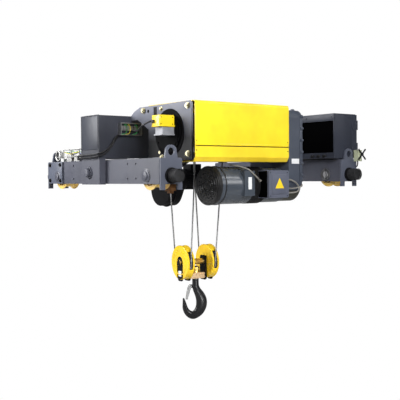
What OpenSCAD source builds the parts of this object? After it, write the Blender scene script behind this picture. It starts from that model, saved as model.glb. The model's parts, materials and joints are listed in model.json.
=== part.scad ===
// Electric wire rope hoist: a double-rail trolley with a cross beam, a covered drum,
// a four-fall hook block, a central travel drive and a control cabinet.
// +X runs along the drum, +Y to the rear along the rails, +Z up. Millimetres.
// The origin is the trolley's centre, on the plane of the rail tops.

/* [Trolley] */
// Distance between the centre lines of the two rails
track_gauge = 1400; // [1400:10:1440]
// Distance between front and rear wheel axles
wheelbase = 1000; // [980:10:1020]
// Length of one carriage beam
beam_l = 1250; // [1240:5:1260]
// Width of one carriage beam
beam_w = 142; // [140:1:146]
// Height of one carriage beam
beam_h = 139; // [136:1:142]
// Radius of a wheel's tread
tread_r = 63; // [60:1:64]
// Height of a wheel flange over the tread
flange_h = 15; // [10:1:16]
// Radius of the hole in each lifting eye
eye_r = 21; // [16:1:24]
// Radius of a buffer
buffer_r = 34; // [25:1:40]
// Length of a buffer
buffer_l = 68; // [50:1:100]

/* [Cross beam] */
// Height of the cross beam
cross_h = 252; // [240:2:256]
// Depth of the cross beam along the rails
cross_d = 200; // [190:2:206]
// How far the cross beam reaches past each carriage
cross_over = 41; // [40:1:50]

/* [Drum] */
// Radius of the drum under the rope
drum_r = 110; // [106:1:110]
// Diameter of the rope
rope_d = 9; // [8:1:9]
// Pitch of the rope on the drum
rope_pitch = 10.5; // [10:0.5:11]
// Turns of rope stored on the drum
rope_turns = 40; // [30:1:44]
// Height of the drum's axis over the rails
drum_z = 301; // [299:1:303]
// Distance of the drum's axis in front of the trolley's centre
drum_front = 469; // [467:1:471]

/* [Covers] */
// Length of the drum covers
cover_l = 696; // [690:2:700]
// Height of the covers' top over the rails
cover_top = 469; // [468:1:474]
// Height of the seam between the two covers
cover_seam = 227; // [215:1:240]
// Height of the covers' bottom edge
cover_bottom = 138; // [134:1:142]
// Thickness of the cover sheet
cover_t = 3; // [2:0.5:4]

/* [Hoist motor] */
// Radius of the hoist motor
motor_r = 112; // [104:1:113]
// Length of the hoist motor's stator housing
stator_l = 202; // [190:1:210]
// Length of the fan cover
fan_cover_l = 57; // [50:1:60]

/* [Hook block] */
// Radius of a block cover
block_r = 101; // [99:0.5:102]
// Rope centre radius on a block sheave
sheave_r = 91; // [89:0.5:91]
// Distance of each block sheave from the block's centre
sheave_off = 85; // [83:1:87]
// Height of the block's axle, negative because it hangs below the rails
block_z = -458; // [-500:1:-450]
// Turn of the block's axle about the vertical
block_turn = -7; // [-10:1:-6]
// Turn of the hook's plane about the vertical
hook_turn = -38; // [-45:1:-30]
// Radius of the hook's shank
shank_r = 17; // [15:1:18]

/* [Control cabinet] */
// Width of the cabinet
cabinet_w = 200; // [196:2:206]
// Length of the cabinet along the rails
cabinet_l = 470; // [440:5:480]
// Height of the cabinet
cabinet_h = 283; // [270:1:290]

/* [Hidden] */
$fn = 64;

// Clearances
running_gap = 0.05;
body_gap = 1;

// Carriages
rail_x = track_gauge / 2;
axle_y = wheelbase / 2;
axle_z = tread_r;
beam_z0 = 19;
beam_z1 = beam_z0 + beam_h;
beam_wall = 8;
end_y = beam_l / 2;
plate_t = 12;
eye_z = beam_z1 + 34;
eye_lug_r = 36;
notch_w = 82;
leg_z = -13;
wheel_w = 90;
wheel_flange_t = 8;
axle_r = 20;
bearing_r = 40;
bearing_w = 16;
beam_out = rail_x + beam_w / 2;
side_hole_y = [-400, -317];
side_hole_z = [49, 130];
side_hole_r = 6;

// Cross beam
cross_x = beam_out + cross_over;
cross_y0 = -78;
cross_y1 = cross_y0 + cross_d;
cross_z0 = beam_z1 + 8;
cross_z1 = cross_z0 + cross_h;
cross_wall = 8;
pivot_y = 39;
pivot_z = 85;
pivot_r = 24;

// Hoist
drum_y = -drum_front;
rope_r = rope_d / 2;
drum_rope_r = drum_r + rope_r;
cover_x0 = -577;
cover_x1 = cover_x0 + cover_l;
side_t = 12;
cover_front = -686;
side_front = -668;
drum_x0 = cover_x0 + 30;
drum_x1 = cover_x1 - 30;
drum_shaft_r = 32;
drum_flange_t = 10;
drum_flange_r = drum_r + 14;
groove_x = 20;
groove_n = floor((drum_x1 - drum_x0 - 2 * groove_x) / rope_pitch);
rod_r = 9;
rod_pos = [[-640, 441], [-640, 182], [-215, 441], [-400, 165]];
guide_y = -372;
guide_z = 195;

// Gear train: module, teeth of the two stages and the angle of the centre line
gear_m = 4;
pinion_teeth = 17;
wheel_teeth = 57;
pinion2_teeth = 19;
output_teeth = 62;
stage1 = gear_m * (pinion_teeth + wheel_teeth) / 2;
stage2 = gear_m * (pinion2_teeth + output_teeth) / 2;
train_lean = 17.07;
mid_y = drum_y - stage2 * sin(train_lean);
mid_z = drum_z - stage2 * cos(train_lean);
motor_y = mid_y - stage1 * sin(train_lean);
motor_z = mid_z - stage1 * cos(train_lean);
case_x0 = cover_x1 + side_t;
case_x1 = case_x0 + 95;
lid_t = 16;
stage2_x = [case_x0 + 20, case_x0 + 52];
stage1_x = [case_x0 + 60, case_x0 + 84];
motor_x1 = case_x0;
motor_x0 = -397;
neck_r = motor_r - 8;
rotor_r = 14;
pad_z = [-61, 81];
box_x = [-87, 70];
box_z = [-75, 84];
box_front = -735;
box_lid_t = 13;

// Hook block
block_x = -249;
block_y = -250;
cover_w = 46;
slot_w = 12;
arch_r = 36;
crosshead_z = block_z - 83;
crosshead_h = 35;
trunnion_r = 13;
cheek_t = 8;
crosshead_l = 2 * (sheave_off - cover_w / 2 - cheek_t - 3);
block_axle_r = 18;

// Falls: each runs from a block sheave to its upper end
return_r = 92;
return_turn = 58;
return_z = 250;
anchor_z = -22;
fall_r = sheave_r + 1.2;
function turned(a, p) = [p[0] * cos(a) - p[1] * sin(a), p[0] * sin(a) + p[1] * cos(a)];
function block_point(x, y) = let (t = turned(block_turn, [x, y])) [block_x + t[0], block_y + t[1], block_z];
function return_point(s) = let (t = turned(return_turn, [s, 0])) [block_x + t[0], block_y + t[1], return_z];
fall_low = [block_point(sheave_off, -fall_r), block_point(sheave_off, fall_r),
            block_point(-sheave_off, -fall_r), block_point(-sheave_off, fall_r)];
fall_high = [[drum_x0 + groove_x + rope_pitch * (rope_turns + 0.5) + 1, drum_y + drum_rope_r + 2, drum_z],
             return_point(return_r), return_point(-return_r), [-358, -150, anchor_z]];

// Hook: centre line, half width and half depth at each station, in the hook's plane
hook_line = [[0, -592, 20, 20], [1, -610, 21, 20], [8, -630, 23, 20], [20, -652, 27, 20],
             [31, -676, 31, 20], [36, -702, 33, 20], [33, -730, 32, 20], [21, -757, 29, 20],
             [2, -776, 26, 20], [-18, -784, 25, 19], [-38, -778, 22, 18], [-54, -762, 19, 16],
             [-64, -740, 16, 14], [-68, -716, 12, 11], [-71, -697, 8, 8], [-74, -681, 5, 5]];
latch_pivot = [-30, -608];
latch_l = 84;
latch_lean = 16;
latch_pin_r = 3;

// Travel drive
travel_x0 = -24;
travel_x1 = 86;
travel_motor_y = 350;
travel_motor_z = 38;
travel_motor_r = 70;
travel_sump = [430, -31, 112];

// Cabinet
cab_x0 = 580;
cab_x1 = cab_x0 + cabinet_w;
cab_y0 = -621;
cab_y1 = cab_y0 + cabinet_l;
cab_z0 = beam_z1 + 8;
cab_z1 = cab_z0 + cabinet_h;
door_t = 12;
hinge_x = cab_x1 + door_t + 2;
hinge_z = [cab_z0 + 40, cab_z1 - 100];
hinge_r = 6;
hinge_l = 30;
sheet_t = 4;

// Held cables, along the beam's end, as points on each route
cable_r = 5;
cable_route = [[-688, -86, 304], [-706, -93, 292], [-722, -98, 274], [-740, -101, 250],
               [-762, -103, 226], [-788, -103, 208], [-812, -99, 198], [-826, -86, 193],
               [-831, -60, 190], [-831, -20, 188], [-831, 30, 187], [-831, 80, 186],
               [-829, 125, 185], [-818, 160, 183], [-800, 190, 181], [-780, 220, 180], [-765, 255, 180]];
cable_gap = 13;

// ---------- Shared shapes ----------

module bar(a, b) {
  translate(a) cube(b - a);
}

module x_rod(x0, x1, y, z, r) {
  translate([x0, y, z]) rotate([0, 90, 0]) cylinder(h = x1 - x0, r = r);
}

module y_rod(x, y0, y1, z, r) {
  translate([x, y0, z]) rotate([-90, 0, 0]) cylinder(h = y1 - y0, r = r);
}

module x_hex(x0, x1, y, z, r) {
  translate([x0, y, z]) rotate([0, 90, 0]) cylinder(h = x1 - x0, r = r, $fn = 6);
}

// Extrudes an outline given as (y, z) along X
module x_prism(x0, x1) {
  translate([x0, 0, 0]) rotate([90, 0, 90]) linear_extrude(x1 - x0) children();
}

// Extrudes an outline given as (x, z) along Y
module y_prism(y0, y1) {
  translate([0, y1, 0]) rotate([90, 0, 0]) linear_extrude(y1 - y0) children();
}

// A round-cornered outline from exact circles and squares
module soft_square(x0, y0, x1, y1, r) {
  translate([x0 + r, y0]) square([x1 - x0 - 2 * r, y1 - y0]);
  translate([x0, y0 + r]) square([x1 - x0, y1 - y0 - 2 * r]);
  for (x = [x0 + r, x1 - r], y = [y0 + r, y1 - r]) translate([x, y]) circle(r = r);
}

// A toothed wheel centred on the origin, with slim teeth that leave backlash
module toothed(teeth, bore, phase) {
  pitch_r = gear_m * teeth / 2;
  step = 360 / teeth;
  foot = pitch_r - 1.25 * gear_m;
  tip = pitch_r + 0.8 * gear_m;
  difference() {
    union() {
      circle(r = foot, $fn = 128);
      for (i = [0 : teeth - 1]) rotate(phase + i * step)
        polygon([[foot - 2, -0.26 * step * PI / 180 * foot], [tip, -0.11 * step * PI / 180 * tip],
                 [tip, 0.11 * step * PI / 180 * tip], [foot - 2, 0.26 * step * PI / 180 * foot]]);
    }
    circle(r = bore);
  }
}

// A tube of radius r swept along points, as one closed polyhedron
function unit(v) = v / norm(v);
function heading(p, i) = unit(p[min(i + 1, len(p) - 1)] - p[max(i - 1, 0)]);
function ring_at(p, i, r, sides) =
  let (t = heading(p, i), s = unit(cross(t, abs(t[2]) > 0.9 ? [1, 0, 0] : [0, 0, 1])), u = cross(s, t))
  [for (k = [0 : sides - 1]) p[i] + r * (cos(360 * k / sides) * s + sin(360 * k / sides) * u)];

module tube(p, r, sides = 8) {
  n = len(p);
  rings = [for (i = [0 : n - 1]) each ring_at(p, i, r, sides)];
  walls = [for (i = [0 : n - 2], k = [0 : sides - 1])
    [i * sides + k, (i + 1) * sides + k, (i + 1) * sides + (k + 1) % sides, i * sides + (k + 1) % sides]];
  first = [for (k = [0 : sides - 1]) k];
  last = [for (k = [sides - 1 : -1 : 0]) (n - 1) * sides + k];
  polyhedron(points = rings, faces = concat([first], walls, [last]), convexity = 8);
}

// ---------- Carriages ----------

module carriage_beam(side) {
  inner = side * rail_x;
  difference() {
    bar([inner - beam_w / 2, -end_y, beam_z0], [inner + beam_w / 2, end_y, beam_z1]);
    bar([inner - beam_w / 2 + beam_wall, -end_y - 1, beam_z0 + beam_wall],
        [inner + beam_w / 2 - beam_wall, end_y + 1, beam_z1 - beam_wall]);
    for (y = [-axle_y, axle_y]) {
      x_rod(inner - beam_w, inner + beam_w, y, axle_z, bearing_r);
      bar([inner - 52, y - 88, beam_z0 - 1], [inner + 52, y + 88, beam_z0 + beam_wall + 1]);
    }
    for (y = side_hole_y, z = side_hole_z)
      x_rod(side * beam_out - beam_wall - 2, side * beam_out + beam_wall + 2, y, z, side_hole_r);
    for (z = side_hole_z)
      x_rod(side * beam_out - beam_wall - 2, side * beam_out + beam_wall + 2, 300, z, side_hole_r);
    x_rod(inner - beam_w, inner + beam_w, pivot_y, pivot_z, pivot_r);
  }
}

module left_carriage_beam() {
  color("#34363e") carriage_beam(-1);
}

module right_carriage_beam() {
  color("#34363e") carriage_beam(1);
}

module end_plate_outline() {
  difference() {
    union() {
      translate([-beam_w / 2, leg_z]) square([beam_w, beam_z1 - 6 - leg_z]);
      polygon([[-beam_w / 2, beam_z1 - 6], [beam_w / 2, beam_z1 - 6], [beam_w / 2 - 6, beam_z1],
               [42, beam_z1], [eye_lug_r, eye_z], [-eye_lug_r, eye_z], [-42, beam_z1],
               [-beam_w / 2 + 6, beam_z1]]);
      translate([0, eye_z]) circle(r = eye_lug_r);
    }
    translate([0, eye_z]) circle(r = eye_r);
    translate([-notch_w / 2, leg_z - 1]) square([notch_w, beam_z0 - leg_z]);
  }
}

module end_plates() {
  color("#30323a") for (x = [-rail_x, rail_x], y = [-end_y - plate_t, end_y])
    translate([x, 0, 0]) y_prism(y, y + plate_t) end_plate_outline();
}

module buffers() {
  color("#18191c") for (x = [-rail_x, rail_x]) {
    y_rod(x, -end_y - plate_t - buffer_l, -end_y - plate_t - 10, axle_z, buffer_r);
    y_rod(x, -end_y - plate_t - 10, -end_y - plate_t, axle_z, buffer_r - 6);
    y_rod(x, end_y + plate_t + 10, end_y + plate_t + buffer_l, axle_z, buffer_r);
    y_rod(x, end_y + plate_t, end_y + plate_t + 10, axle_z, buffer_r - 6);
  }
}

// Two bearing rings in the beam walls at each wheel, and one in each hoist plate at the drum
module bearings() {
  color("#8d9095") {
    for (side = [-1, 1], y = [-axle_y, axle_y], wall = [-1, 1])
      difference() {
        x_rod(side * rail_x + wall * (beam_w / 2 - bearing_w / 2 + 2) - bearing_w / 2,
              side * rail_x + wall * (beam_w / 2 - bearing_w / 2 + 2) + bearing_w / 2, y, axle_z, bearing_r);
        x_rod(side * rail_x - beam_w, side * rail_x + beam_w, y, axle_z, axle_r + running_gap);
      }
    for (x = [cover_x0 - side_t, cover_x1]) difference() {
      x_rod(x, x + side_t, drum_y, drum_z, drum_shaft_r + 22);
      x_rod(x - 1, x + side_t + 1, drum_y, drum_z, drum_shaft_r + running_gap);
    }
  }
}

module wheel(side, y) {
  translate([side * rail_x, y, axle_z]) rotate([0, 90, 0]) difference() {
    rotate_extrude($fn = 96) polygon([
      [axle_r, -wheel_w / 2], [38, -wheel_w / 2], [38, -wheel_w / 2 + 8], [tread_r - 6, -wheel_w / 2 + 8],
      [tread_r - 6, -wheel_w / 2], [tread_r + flange_h, -wheel_w / 2],
      [tread_r + flange_h, -wheel_w / 2 + wheel_flange_t - 4], [tread_r, -wheel_w / 2 + wheel_flange_t],
      [tread_r, wheel_w / 2 - wheel_flange_t], [tread_r + flange_h, wheel_w / 2 - wheel_flange_t + 4],
      [tread_r + flange_h, wheel_w / 2], [tread_r - 6, wheel_w / 2],
      [tread_r - 6, wheel_w / 2 - 8], [38, wheel_w / 2 - 8], [38, wheel_w / 2], [axle_r, wheel_w / 2]]);
    for (a = [0 : 60 : 359]) rotate(a) translate([47, 0, -wheel_w]) cylinder(h = 2 * wheel_w, r = 6);
  }
}

module front_left_wheel() {
  color("#c98b1d") wheel(-1, -axle_y);
}

module front_right_wheel() {
  color("#c98b1d") wheel(1, -axle_y);
}

module rear_left_wheel() {
  color("#c98b1d") wheel(-1, axle_y);
}

module rear_right_wheel() {
  color("#c98b1d") wheel(1, axle_y);
}

module front_axle(side) {
  x_rod(side * rail_x - beam_w / 2 - 4, side * rail_x + beam_w / 2 + 4, -axle_y, axle_z, axle_r);
}

module front_left_axle() {
  color("#9a9da3") front_axle(-1);
}

module front_right_axle() {
  color("#9a9da3") front_axle(1);
}

module drive_shaft() {
  color("#9a9da3") {
    x_rod(-beam_out - 4, beam_out + 4, axle_y, axle_z, axle_r);
  }
}

// ---------- Cross beam ----------

module cross_beam() {
  color("#3b3d47") {
    difference() {
      bar([-cross_x, cross_y0, cross_z0], [cross_x, cross_y1, cross_z1]);
      bar([-cross_x + cross_wall, cross_y0 + cross_wall, cross_z0 + cross_wall],
          [cross_x - cross_wall, cross_y1 - cross_wall, cross_z1 - cross_wall]);
    }
  }
}

// A channel from the cross beam's underside down each carriage's outer face
module hanger(side) {
  outer = side * cross_x;
  face = side * beam_out;
  difference() {
    bar([min(outer, face), cross_y0 - 3, beam_z0 - 4], [max(outer, face), cross_y1, cross_z0]);
    bar([min(outer - side * 10, face - side), cross_y0 + 7, beam_z0 - 5],
        [max(outer - side * 10, face - side), cross_y1 - 10, cross_z0 - 10]);
    x_rod(min(outer, face) - 5, max(outer, face) + 5, pivot_y, pivot_z, pivot_r);
  }
}

module hangers() {
  color("#3b3d47") for (side = [-1, 1]) hanger(side);
}

module pivot_pins() {
  color("#7d8086") for (side = [-1, 1]) {
    lo = min(side * (cross_x + 14), side * (rail_x - beam_w / 2 - 6));
    hi = max(side * (cross_x + 14), side * (rail_x - beam_w / 2 - 6));
    x_rod(lo, hi, pivot_y, pivot_z, pivot_r);
    x_rod(side * cross_x + (side < 0 ? -8 : 0), side * cross_x + (side < 0 ? 0 : 8),
          pivot_y, pivot_z, pivot_r + 12);
  }
}

// ---------- Hoist frame and covers ----------

module side_plate_outline() {
  difference() {
    polygon([[side_front, cover_bottom + 8], [side_front, cover_top - 16], [side_front + 14, cover_top - 2],
             [-172, cover_top - 6], [-112, cover_top - 28], [cross_y0, cross_z1],
             [cross_y0, cross_z1 - 26], [-150, cross_z1 - 26], [-262, 330], [-262, cover_bottom + 8]]);
    translate([drum_y, drum_z]) circle(r = drum_shaft_r + 22);
    translate([-268, 426]) square([18, 18]);
  }
}

module hoist_side_plates() {
  color("#4a4c57") for (x = [cover_x0 - side_t, cover_x1])
    difference() {
      x_prism(x, x + side_t) side_plate_outline();
      for (p = rod_pos) x_rod(x - 1, x + side_t + 1, p[0], p[1], rod_r);
      x_rod(x - 1, x + side_t + 1, guide_y, guide_z, rod_r);
    }
}

// Four tie rods with their nuts, and the bar that the rope guide slides on
module tie_rods() {
  color("#85888f") {
    for (p = rod_pos) {
      x_rod(cover_x0 - side_t - 16, cover_x1 + side_t, p[0], p[1], rod_r);
      x_hex(cover_x0 - side_t - 11, cover_x0 - side_t, p[0], p[1], rod_r + 6);
    }
    x_rod(cover_x0 - side_t - 4, cover_x1 + side_t, guide_y, guide_z, rod_r);
  }
}

module upper_cover() {
  top_back = -240;
  color("#f2bd12") {
    x_prism(cover_x0, cover_x1) difference() {
      soft_square(cover_front, cover_seam - 20, top_back, cover_top, 14);
      soft_square(cover_front + cover_t, cover_seam - 40, top_back - cover_t, cover_top - cover_t, 11);
      translate([cover_front - 1, cover_seam - 60]) square([top_back - cover_front + 2, 60]);
      translate([top_back - 20, cover_seam - 1]) square([40, cover_top - cover_seam - 60]);
    }
  }
}

module lower_cover() {
  color("#f0a812") x_prism(cover_x0, cover_x1) polygon([
    [cover_front, cover_seam - 2], [cover_front, cover_bottom + 25], [cover_front + 18, cover_bottom],
    [-560, cover_bottom], [-560, cover_bottom + cover_t], [cover_front + 20, cover_bottom + cover_t],
    [cover_front + cover_t, cover_bottom + 26], [cover_front + cover_t, cover_seam - 2]]);
}

// ---------- Drum ----------

module drum() {
  color("#5a5d64") translate([drum_x0, drum_y, drum_z]) rotate([0, 90, 0])
  rotate_extrude($fn = 96) difference() {
    union() {
      translate([drum_r - 16, 0]) square([16, drum_x1 - drum_x0]);
      translate([drum_shaft_r, 6]) square([drum_r - drum_shaft_r, 14]);
      translate([drum_shaft_r, drum_x1 - drum_x0 - 20]) square([drum_r - drum_shaft_r, 14]);
      square_ring(drum_r - 2, drum_flange_r, 0, drum_flange_t);
      square_ring(drum_r - 2, drum_flange_r, drum_x1 - drum_x0 - drum_flange_t, drum_x1 - drum_x0);
    }
    for (i = [rope_turns : groove_n - 1])
      translate([drum_r + 2, groove_x + rope_pitch * (i + 0.5)]) circle(r = rope_r, $fn = 24);
  }
}

module square_ring(r0, r1, z0, z1) {
  translate([r0, z0]) square([r1 - r0, z1 - z0]);
}

module drum_rope() {
  color("#8a8c8e") translate([drum_x0 + groove_x, drum_y, drum_z]) rotate([0, 90, 0])
    rotate_extrude($fn = 96) intersection() {
      union() {
        for (i = [0 : rope_turns - 1])
          translate([drum_r + rope_r, rope_pitch * (i + 0.5)]) circle(r = rope_r, $fn = 24);
        translate([drum_r, 2]) square([3, rope_pitch * rope_turns - 4]);
      }
      translate([drum_r, 0]) square([3 * rope_d, rope_pitch * rope_turns]);
    }
}

module drum_shaft() {
  color("#9a9da3") {
    x_rod(cover_x0 - side_t - 4, stage2_x[1] + 8, drum_y, drum_z, drum_shaft_r);
  }
}

module drum_end_cover() {
  x1 = cover_x0 - side_t;
  color("#1d1e22") difference() {
    union() {
      x_rod(x1 - 12, x1, drum_y, drum_z, drum_r);
      x_rod(x1 - 16, x1 - 12, drum_y, drum_z, drum_r - 14);
      for (a = [30 : 60 : 359])
        x_hex(x1 - 18, x1 - 11, drum_y + (drum_r - 7) * cos(a), drum_z + (drum_r - 7) * sin(a), 5);
    }
    x_rod(x1 - 8, x1 + 1, drum_y, drum_z, drum_shaft_r + 2);
  }
}

module limit_switch_body() {
  x1 = cover_x0 - side_t - 16;
  color("#9b9ea6") {
    bar([x1 - 78, drum_y - 64, drum_z - 11], [x1, drum_y + 4, drum_z + 29]);
    bar([x1 - 86, drum_y - 70, drum_z - 17], [x1, drum_y + 8, drum_z - 11]);
  }
}

module limit_switch_cover() {
  x1 = cover_x0 - side_t - 16;
  color("#f2bd12") bar([x1 - 102, drum_y - 71, drum_z + 29], [x1, drum_y + 4, drum_z + 93]);
}

// Split ring that lays the rope in its groove, with an ear on the guide bar
module rope_guide() {
  r0 = drum_rope_r + rope_r + 2;
  x0 = drum_x0 + groove_x + rope_pitch * (rope_turns + 1) + 3;
  color("#2a2c30") difference() {
    union() {
      x_rod(x0, x0 + 34, drum_y, drum_z, r0 + 9);
      x_prism(x0, x0 + 34) polygon([[guide_y - 14, guide_z - 14], [guide_y + 16, guide_z - 14],
        [guide_y + 16, guide_z + 14], [drum_y + 100, drum_z - 30], [drum_y + 70, drum_z - 90]]);
    }
    x_rod(x0 - 1, x0 + 35, drum_y, drum_z, r0);
    x_rod(x0 - 1, x0 + 35, guide_y, guide_z, rod_r + running_gap);
  }
}

// ---------- Gearbox ----------

module case_outline(grow) {
  soft_square(-672 - grow, -28 - grow, -330 + grow, 449 + grow, 48);
  translate([motor_y, motor_z]) circle(r = 100 + grow);
}

module gearbox_case() {
  color("#4d5566") difference() {
    x_prism(case_x0, case_x1) case_outline(0);
    x_prism(case_x0 + 8, case_x1 + 1) {
      soft_square(-660, -16, -338, 437, 40);
      translate([motor_y, motor_z]) circle(r = 88);
    }
    x_rod(case_x0 - 1, case_x0 + 9, drum_y, drum_z, drum_shaft_r + 4);
    x_rod(case_x0 - 1, case_x0 + 9, motor_y, motor_z, rotor_r + running_gap);
    x_rod(case_x0 + 4, case_x0 + 9, mid_y, mid_z, 14 + running_gap);
  }
}

// Lid with a bolt boss every so often round its edge
module gearbox_lid() {
  boss_y = [-672, -330];
  color("#4d5566") difference() {
    union() {
      x_prism(case_x1, case_x1 + lid_t) case_outline(0);
      for (z = [60 : 70 : 410], y = boss_y) x_rod(case_x1, case_x1 + lid_t, y, z, 11);
      for (y = [-600 : 66 : -400]) x_rod(case_x1, case_x1 + lid_t, y, 449, 11);
      x_rod(case_x1 + lid_t, case_x1 + lid_t + 14, drum_y, drum_z, 70);
      for (z = [60 : 70 : 410], y = boss_y) x_hex(case_x1 + lid_t, case_x1 + lid_t + 7, y, z, 8);
    }
    x_rod(case_x1 - 1, case_x1 + 6, mid_y, mid_z, 14 + running_gap);
  }
}

module output_gear() {
  color("#8b8e94") x_prism(stage2_x[0], stage2_x[1]) translate([drum_y, drum_z])
    toothed(output_teeth, drum_shaft_r, 90 - train_lean - 180);
}

module intermediate_gears() {
  half2 = 180 / pinion2_teeth;
  half1 = 180 / wheel_teeth;
  color("#8b8e94") {
    x_prism(stage2_x[0], stage2_x[1]) translate([mid_y, mid_z])
      toothed(pinion2_teeth, 14, 90 - train_lean + half2);
    x_prism(stage1_x[0], stage1_x[1]) translate([mid_y, mid_z])
      toothed(wheel_teeth, 14, 90 - train_lean - 180 + half1);
    x_rod(case_x0 + 4.5, case_x1 + 5.5, mid_y, mid_z, 14);
  }
}

// Shaft, pinion, rotor core and cooling fan
module motor_rotor() {
  color("#8b8e94") {
    x_rod(motor_x0 + 16, stage1_x[1] + 4, motor_y, motor_z, rotor_r);
    x_prism(stage1_x[0], stage1_x[1]) translate([motor_y, motor_z])
      toothed(pinion_teeth, rotor_r - 1, 90 - train_lean);
    x_rod(-260, -100, motor_y, motor_z, 46);
    x_rod(motor_x0 + 20, motor_x0 + 24, motor_y, motor_z, 84);
    for (a = [0 : 45 : 359]) translate([motor_x0 + 24, motor_y, motor_z]) rotate([a, 0, 0])
      translate([0, 30, -2]) cube([16, 50, 4]);
  }
}

module motor_housing() {
  x0 = motor_x0 + fan_cover_l;
  x1 = x0 + stator_l;
  color("#3d4150") difference() {
    union() {
      x_rod(x0, x0 + 14, motor_y, motor_z, motor_r - 3);
      x_rod(x0 + 14, x1, motor_y, motor_z, motor_r - 5);
      x_rod(x1, motor_x1 - 14, motor_y, motor_z, neck_r);
      x_rod(motor_x1 - 14, motor_x1, motor_y, motor_z, motor_r - 10);
      bar([x1 - 80, motor_y - motor_r - 4, motor_z + pad_z[0]],
          [x1 - 4, motor_y - motor_r + 40, motor_z + pad_z[1]]);
    }
    x_rod(x0 + 12, motor_x1 - 12, motor_y, motor_z, 56);
    x_rod(x0 - 1, motor_x1 + 1, motor_y, motor_z, rotor_r + running_gap);
  }
}

// Cup with a round grille of slots in its end
module fan_cover() {
  color("#24262d") difference() {
    x_rod(motor_x0, motor_x0 + fan_cover_l, motor_y, motor_z, motor_r - 2);
    x_rod(motor_x0 + 4, motor_x0 + fan_cover_l + 1, motor_y, motor_z, motor_r - 5);
    for (ring = [34, 54, 74], a = [0 : 20 : 359])
      x_rod(motor_x0 - 1, motor_x0 + 5, motor_y + ring * cos(a), motor_z + ring * sin(a), 4.5);
  }
}

// Box with a round-cornered lid, scribed to the motor's neck
module terminal_box() {
  low = [box_x[0], box_front + box_lid_t, motor_z + box_z[0]];
  high = [box_x[1], motor_y - 85, motor_z + box_z[1]];
  color("#2b2d35") {
    difference() {
      bar(low, high);
      x_rod(low[0] - 3, high[0] + 5, motor_y, motor_z, neck_r);
    }
    y_prism(box_front, box_front + box_lid_t) soft_square(low[0], low[2], high[0], high[2], 12);
  }
}

// ---------- Return sheave and rope anchor ----------

// Sheave on the X axis: rope centre radius r, width w, bore b
module sheave(r, w, b) {
  groove = r - rope_r;
  rotate([0, 90, 0]) rotate_extrude($fn = 96) difference() {
    union() {
      square_ring(b, groove - 4, -5, 5);
      square_ring(b, b + 16, -w / 2, w / 2);
      square_ring(groove - 14, r + 3.5, -w / 2 + 4, w / 2 - 4);
    }
    polygon([[groove - 0.5, -3], [r + 4, -rope_r - 3.5], [r + 4, rope_r + 3.5], [groove - 0.5, 3]]);
  }
}

module at_return() {
  translate([block_x, block_y, return_z]) rotate([0, 0, return_turn - 90]) children();
}

module return_sheave() {
  color("#55585f") at_return() sheave(return_r, 30, 16 + running_gap);
}

// Two cheeks with the axle between them, cut to meet the cross beam's front
module return_sheave_bracket() {
  color("#33353c") difference() {
    at_return() {
      for (x = [-30, 20]) difference() {
        x_prism(x, x + 10) polygon([[-34, 0], [-34, -26], [-10, -50], [60, -60], [300, -60], [300, 120],
          [60, 60], [-10, 50], [-34, 26]]);
        x_rod(x - 1, x + 11, 0, 0, 16);
      }
      x_rod(-36, 36, 0, 0, 16);
      for (x = [-38, 30]) x_rod(x, x + 8, 0, 0, 22);
    }
    translate([-900, cross_y0, -100]) cube([1800, 600, 800]);
  }
}

// Wedge socket that holds the rope's dead end, on a bracket under the cross beam
module rope_anchor() {
  p = fall_high[3];
  color("#7a4a22") {
    difference() {
      union() {
        x_rod(p[0] - 16, p[0] + 16, p[1], anchor_z + 14, 26);
        bar([p[0] - 14, p[1] - 14, anchor_z - 22], [p[0] + 14, p[1] + 14, anchor_z - 4]);
      }
      x_rod(p[0] - 17, p[0] + 17, p[1], anchor_z + 14, 8);
      translate([p[0], p[1], anchor_z - 30]) cylinder(h = 31, r = 8);
    }
  }
  color("#33353c") {
    for (x = [-26, 16.2]) difference() {
      bar([p[0] + x, p[1] - 22, anchor_z - 8], [p[0] + x + 9.8, p[1] + 22, 120]);
      x_rod(p[0] + x - 1, p[0] + x + 12, p[1], anchor_z + 14, 8);
    }
    x_rod(p[0] - 30, p[0] + 30, p[1], anchor_z + 14, 8);
    bar([p[0] - 26, p[1] - 22, 120], [p[0] + 26, cross_y0, 136]);
    bar([p[0] - 26, cross_y0 - 14, 136], [p[0] + 26, cross_y0, cross_z0 + 60]);
  }
}

// ---------- Rope falls ----------

module fall(i) {
  a = fall_low[i];
  b = fall_high[i];
  d = b - a;
  translate(a) rotate([0, acos(d[2] / norm(d)), atan2(d[1], d[0])]) cylinder(h = norm(d), r = rope_r);
}

module rope_fall_1() {
  color("#8a8c8e") fall(0);
}

module rope_fall_2() {
  color("#8a8c8e") fall(1);
}

module rope_fall_3() {
  color("#8a8c8e") fall(2);
}

module rope_fall_4() {
  color("#8a8c8e") fall(3);
}

// ---------- Hook block ----------

module at_block() {
  translate([block_x, block_y, block_z]) rotate([0, 0, block_turn]) children();
}

module left_sheave() {
  color("#6d7076") at_block() translate([-sheave_off, 0, 0]) sheave(sheave_r, 30, block_axle_r + running_gap);
}

module right_sheave() {
  color("#6d7076") at_block() translate([sheave_off, 0, 0]) sheave(sheave_r, 30, block_axle_r + running_gap);
}

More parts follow.
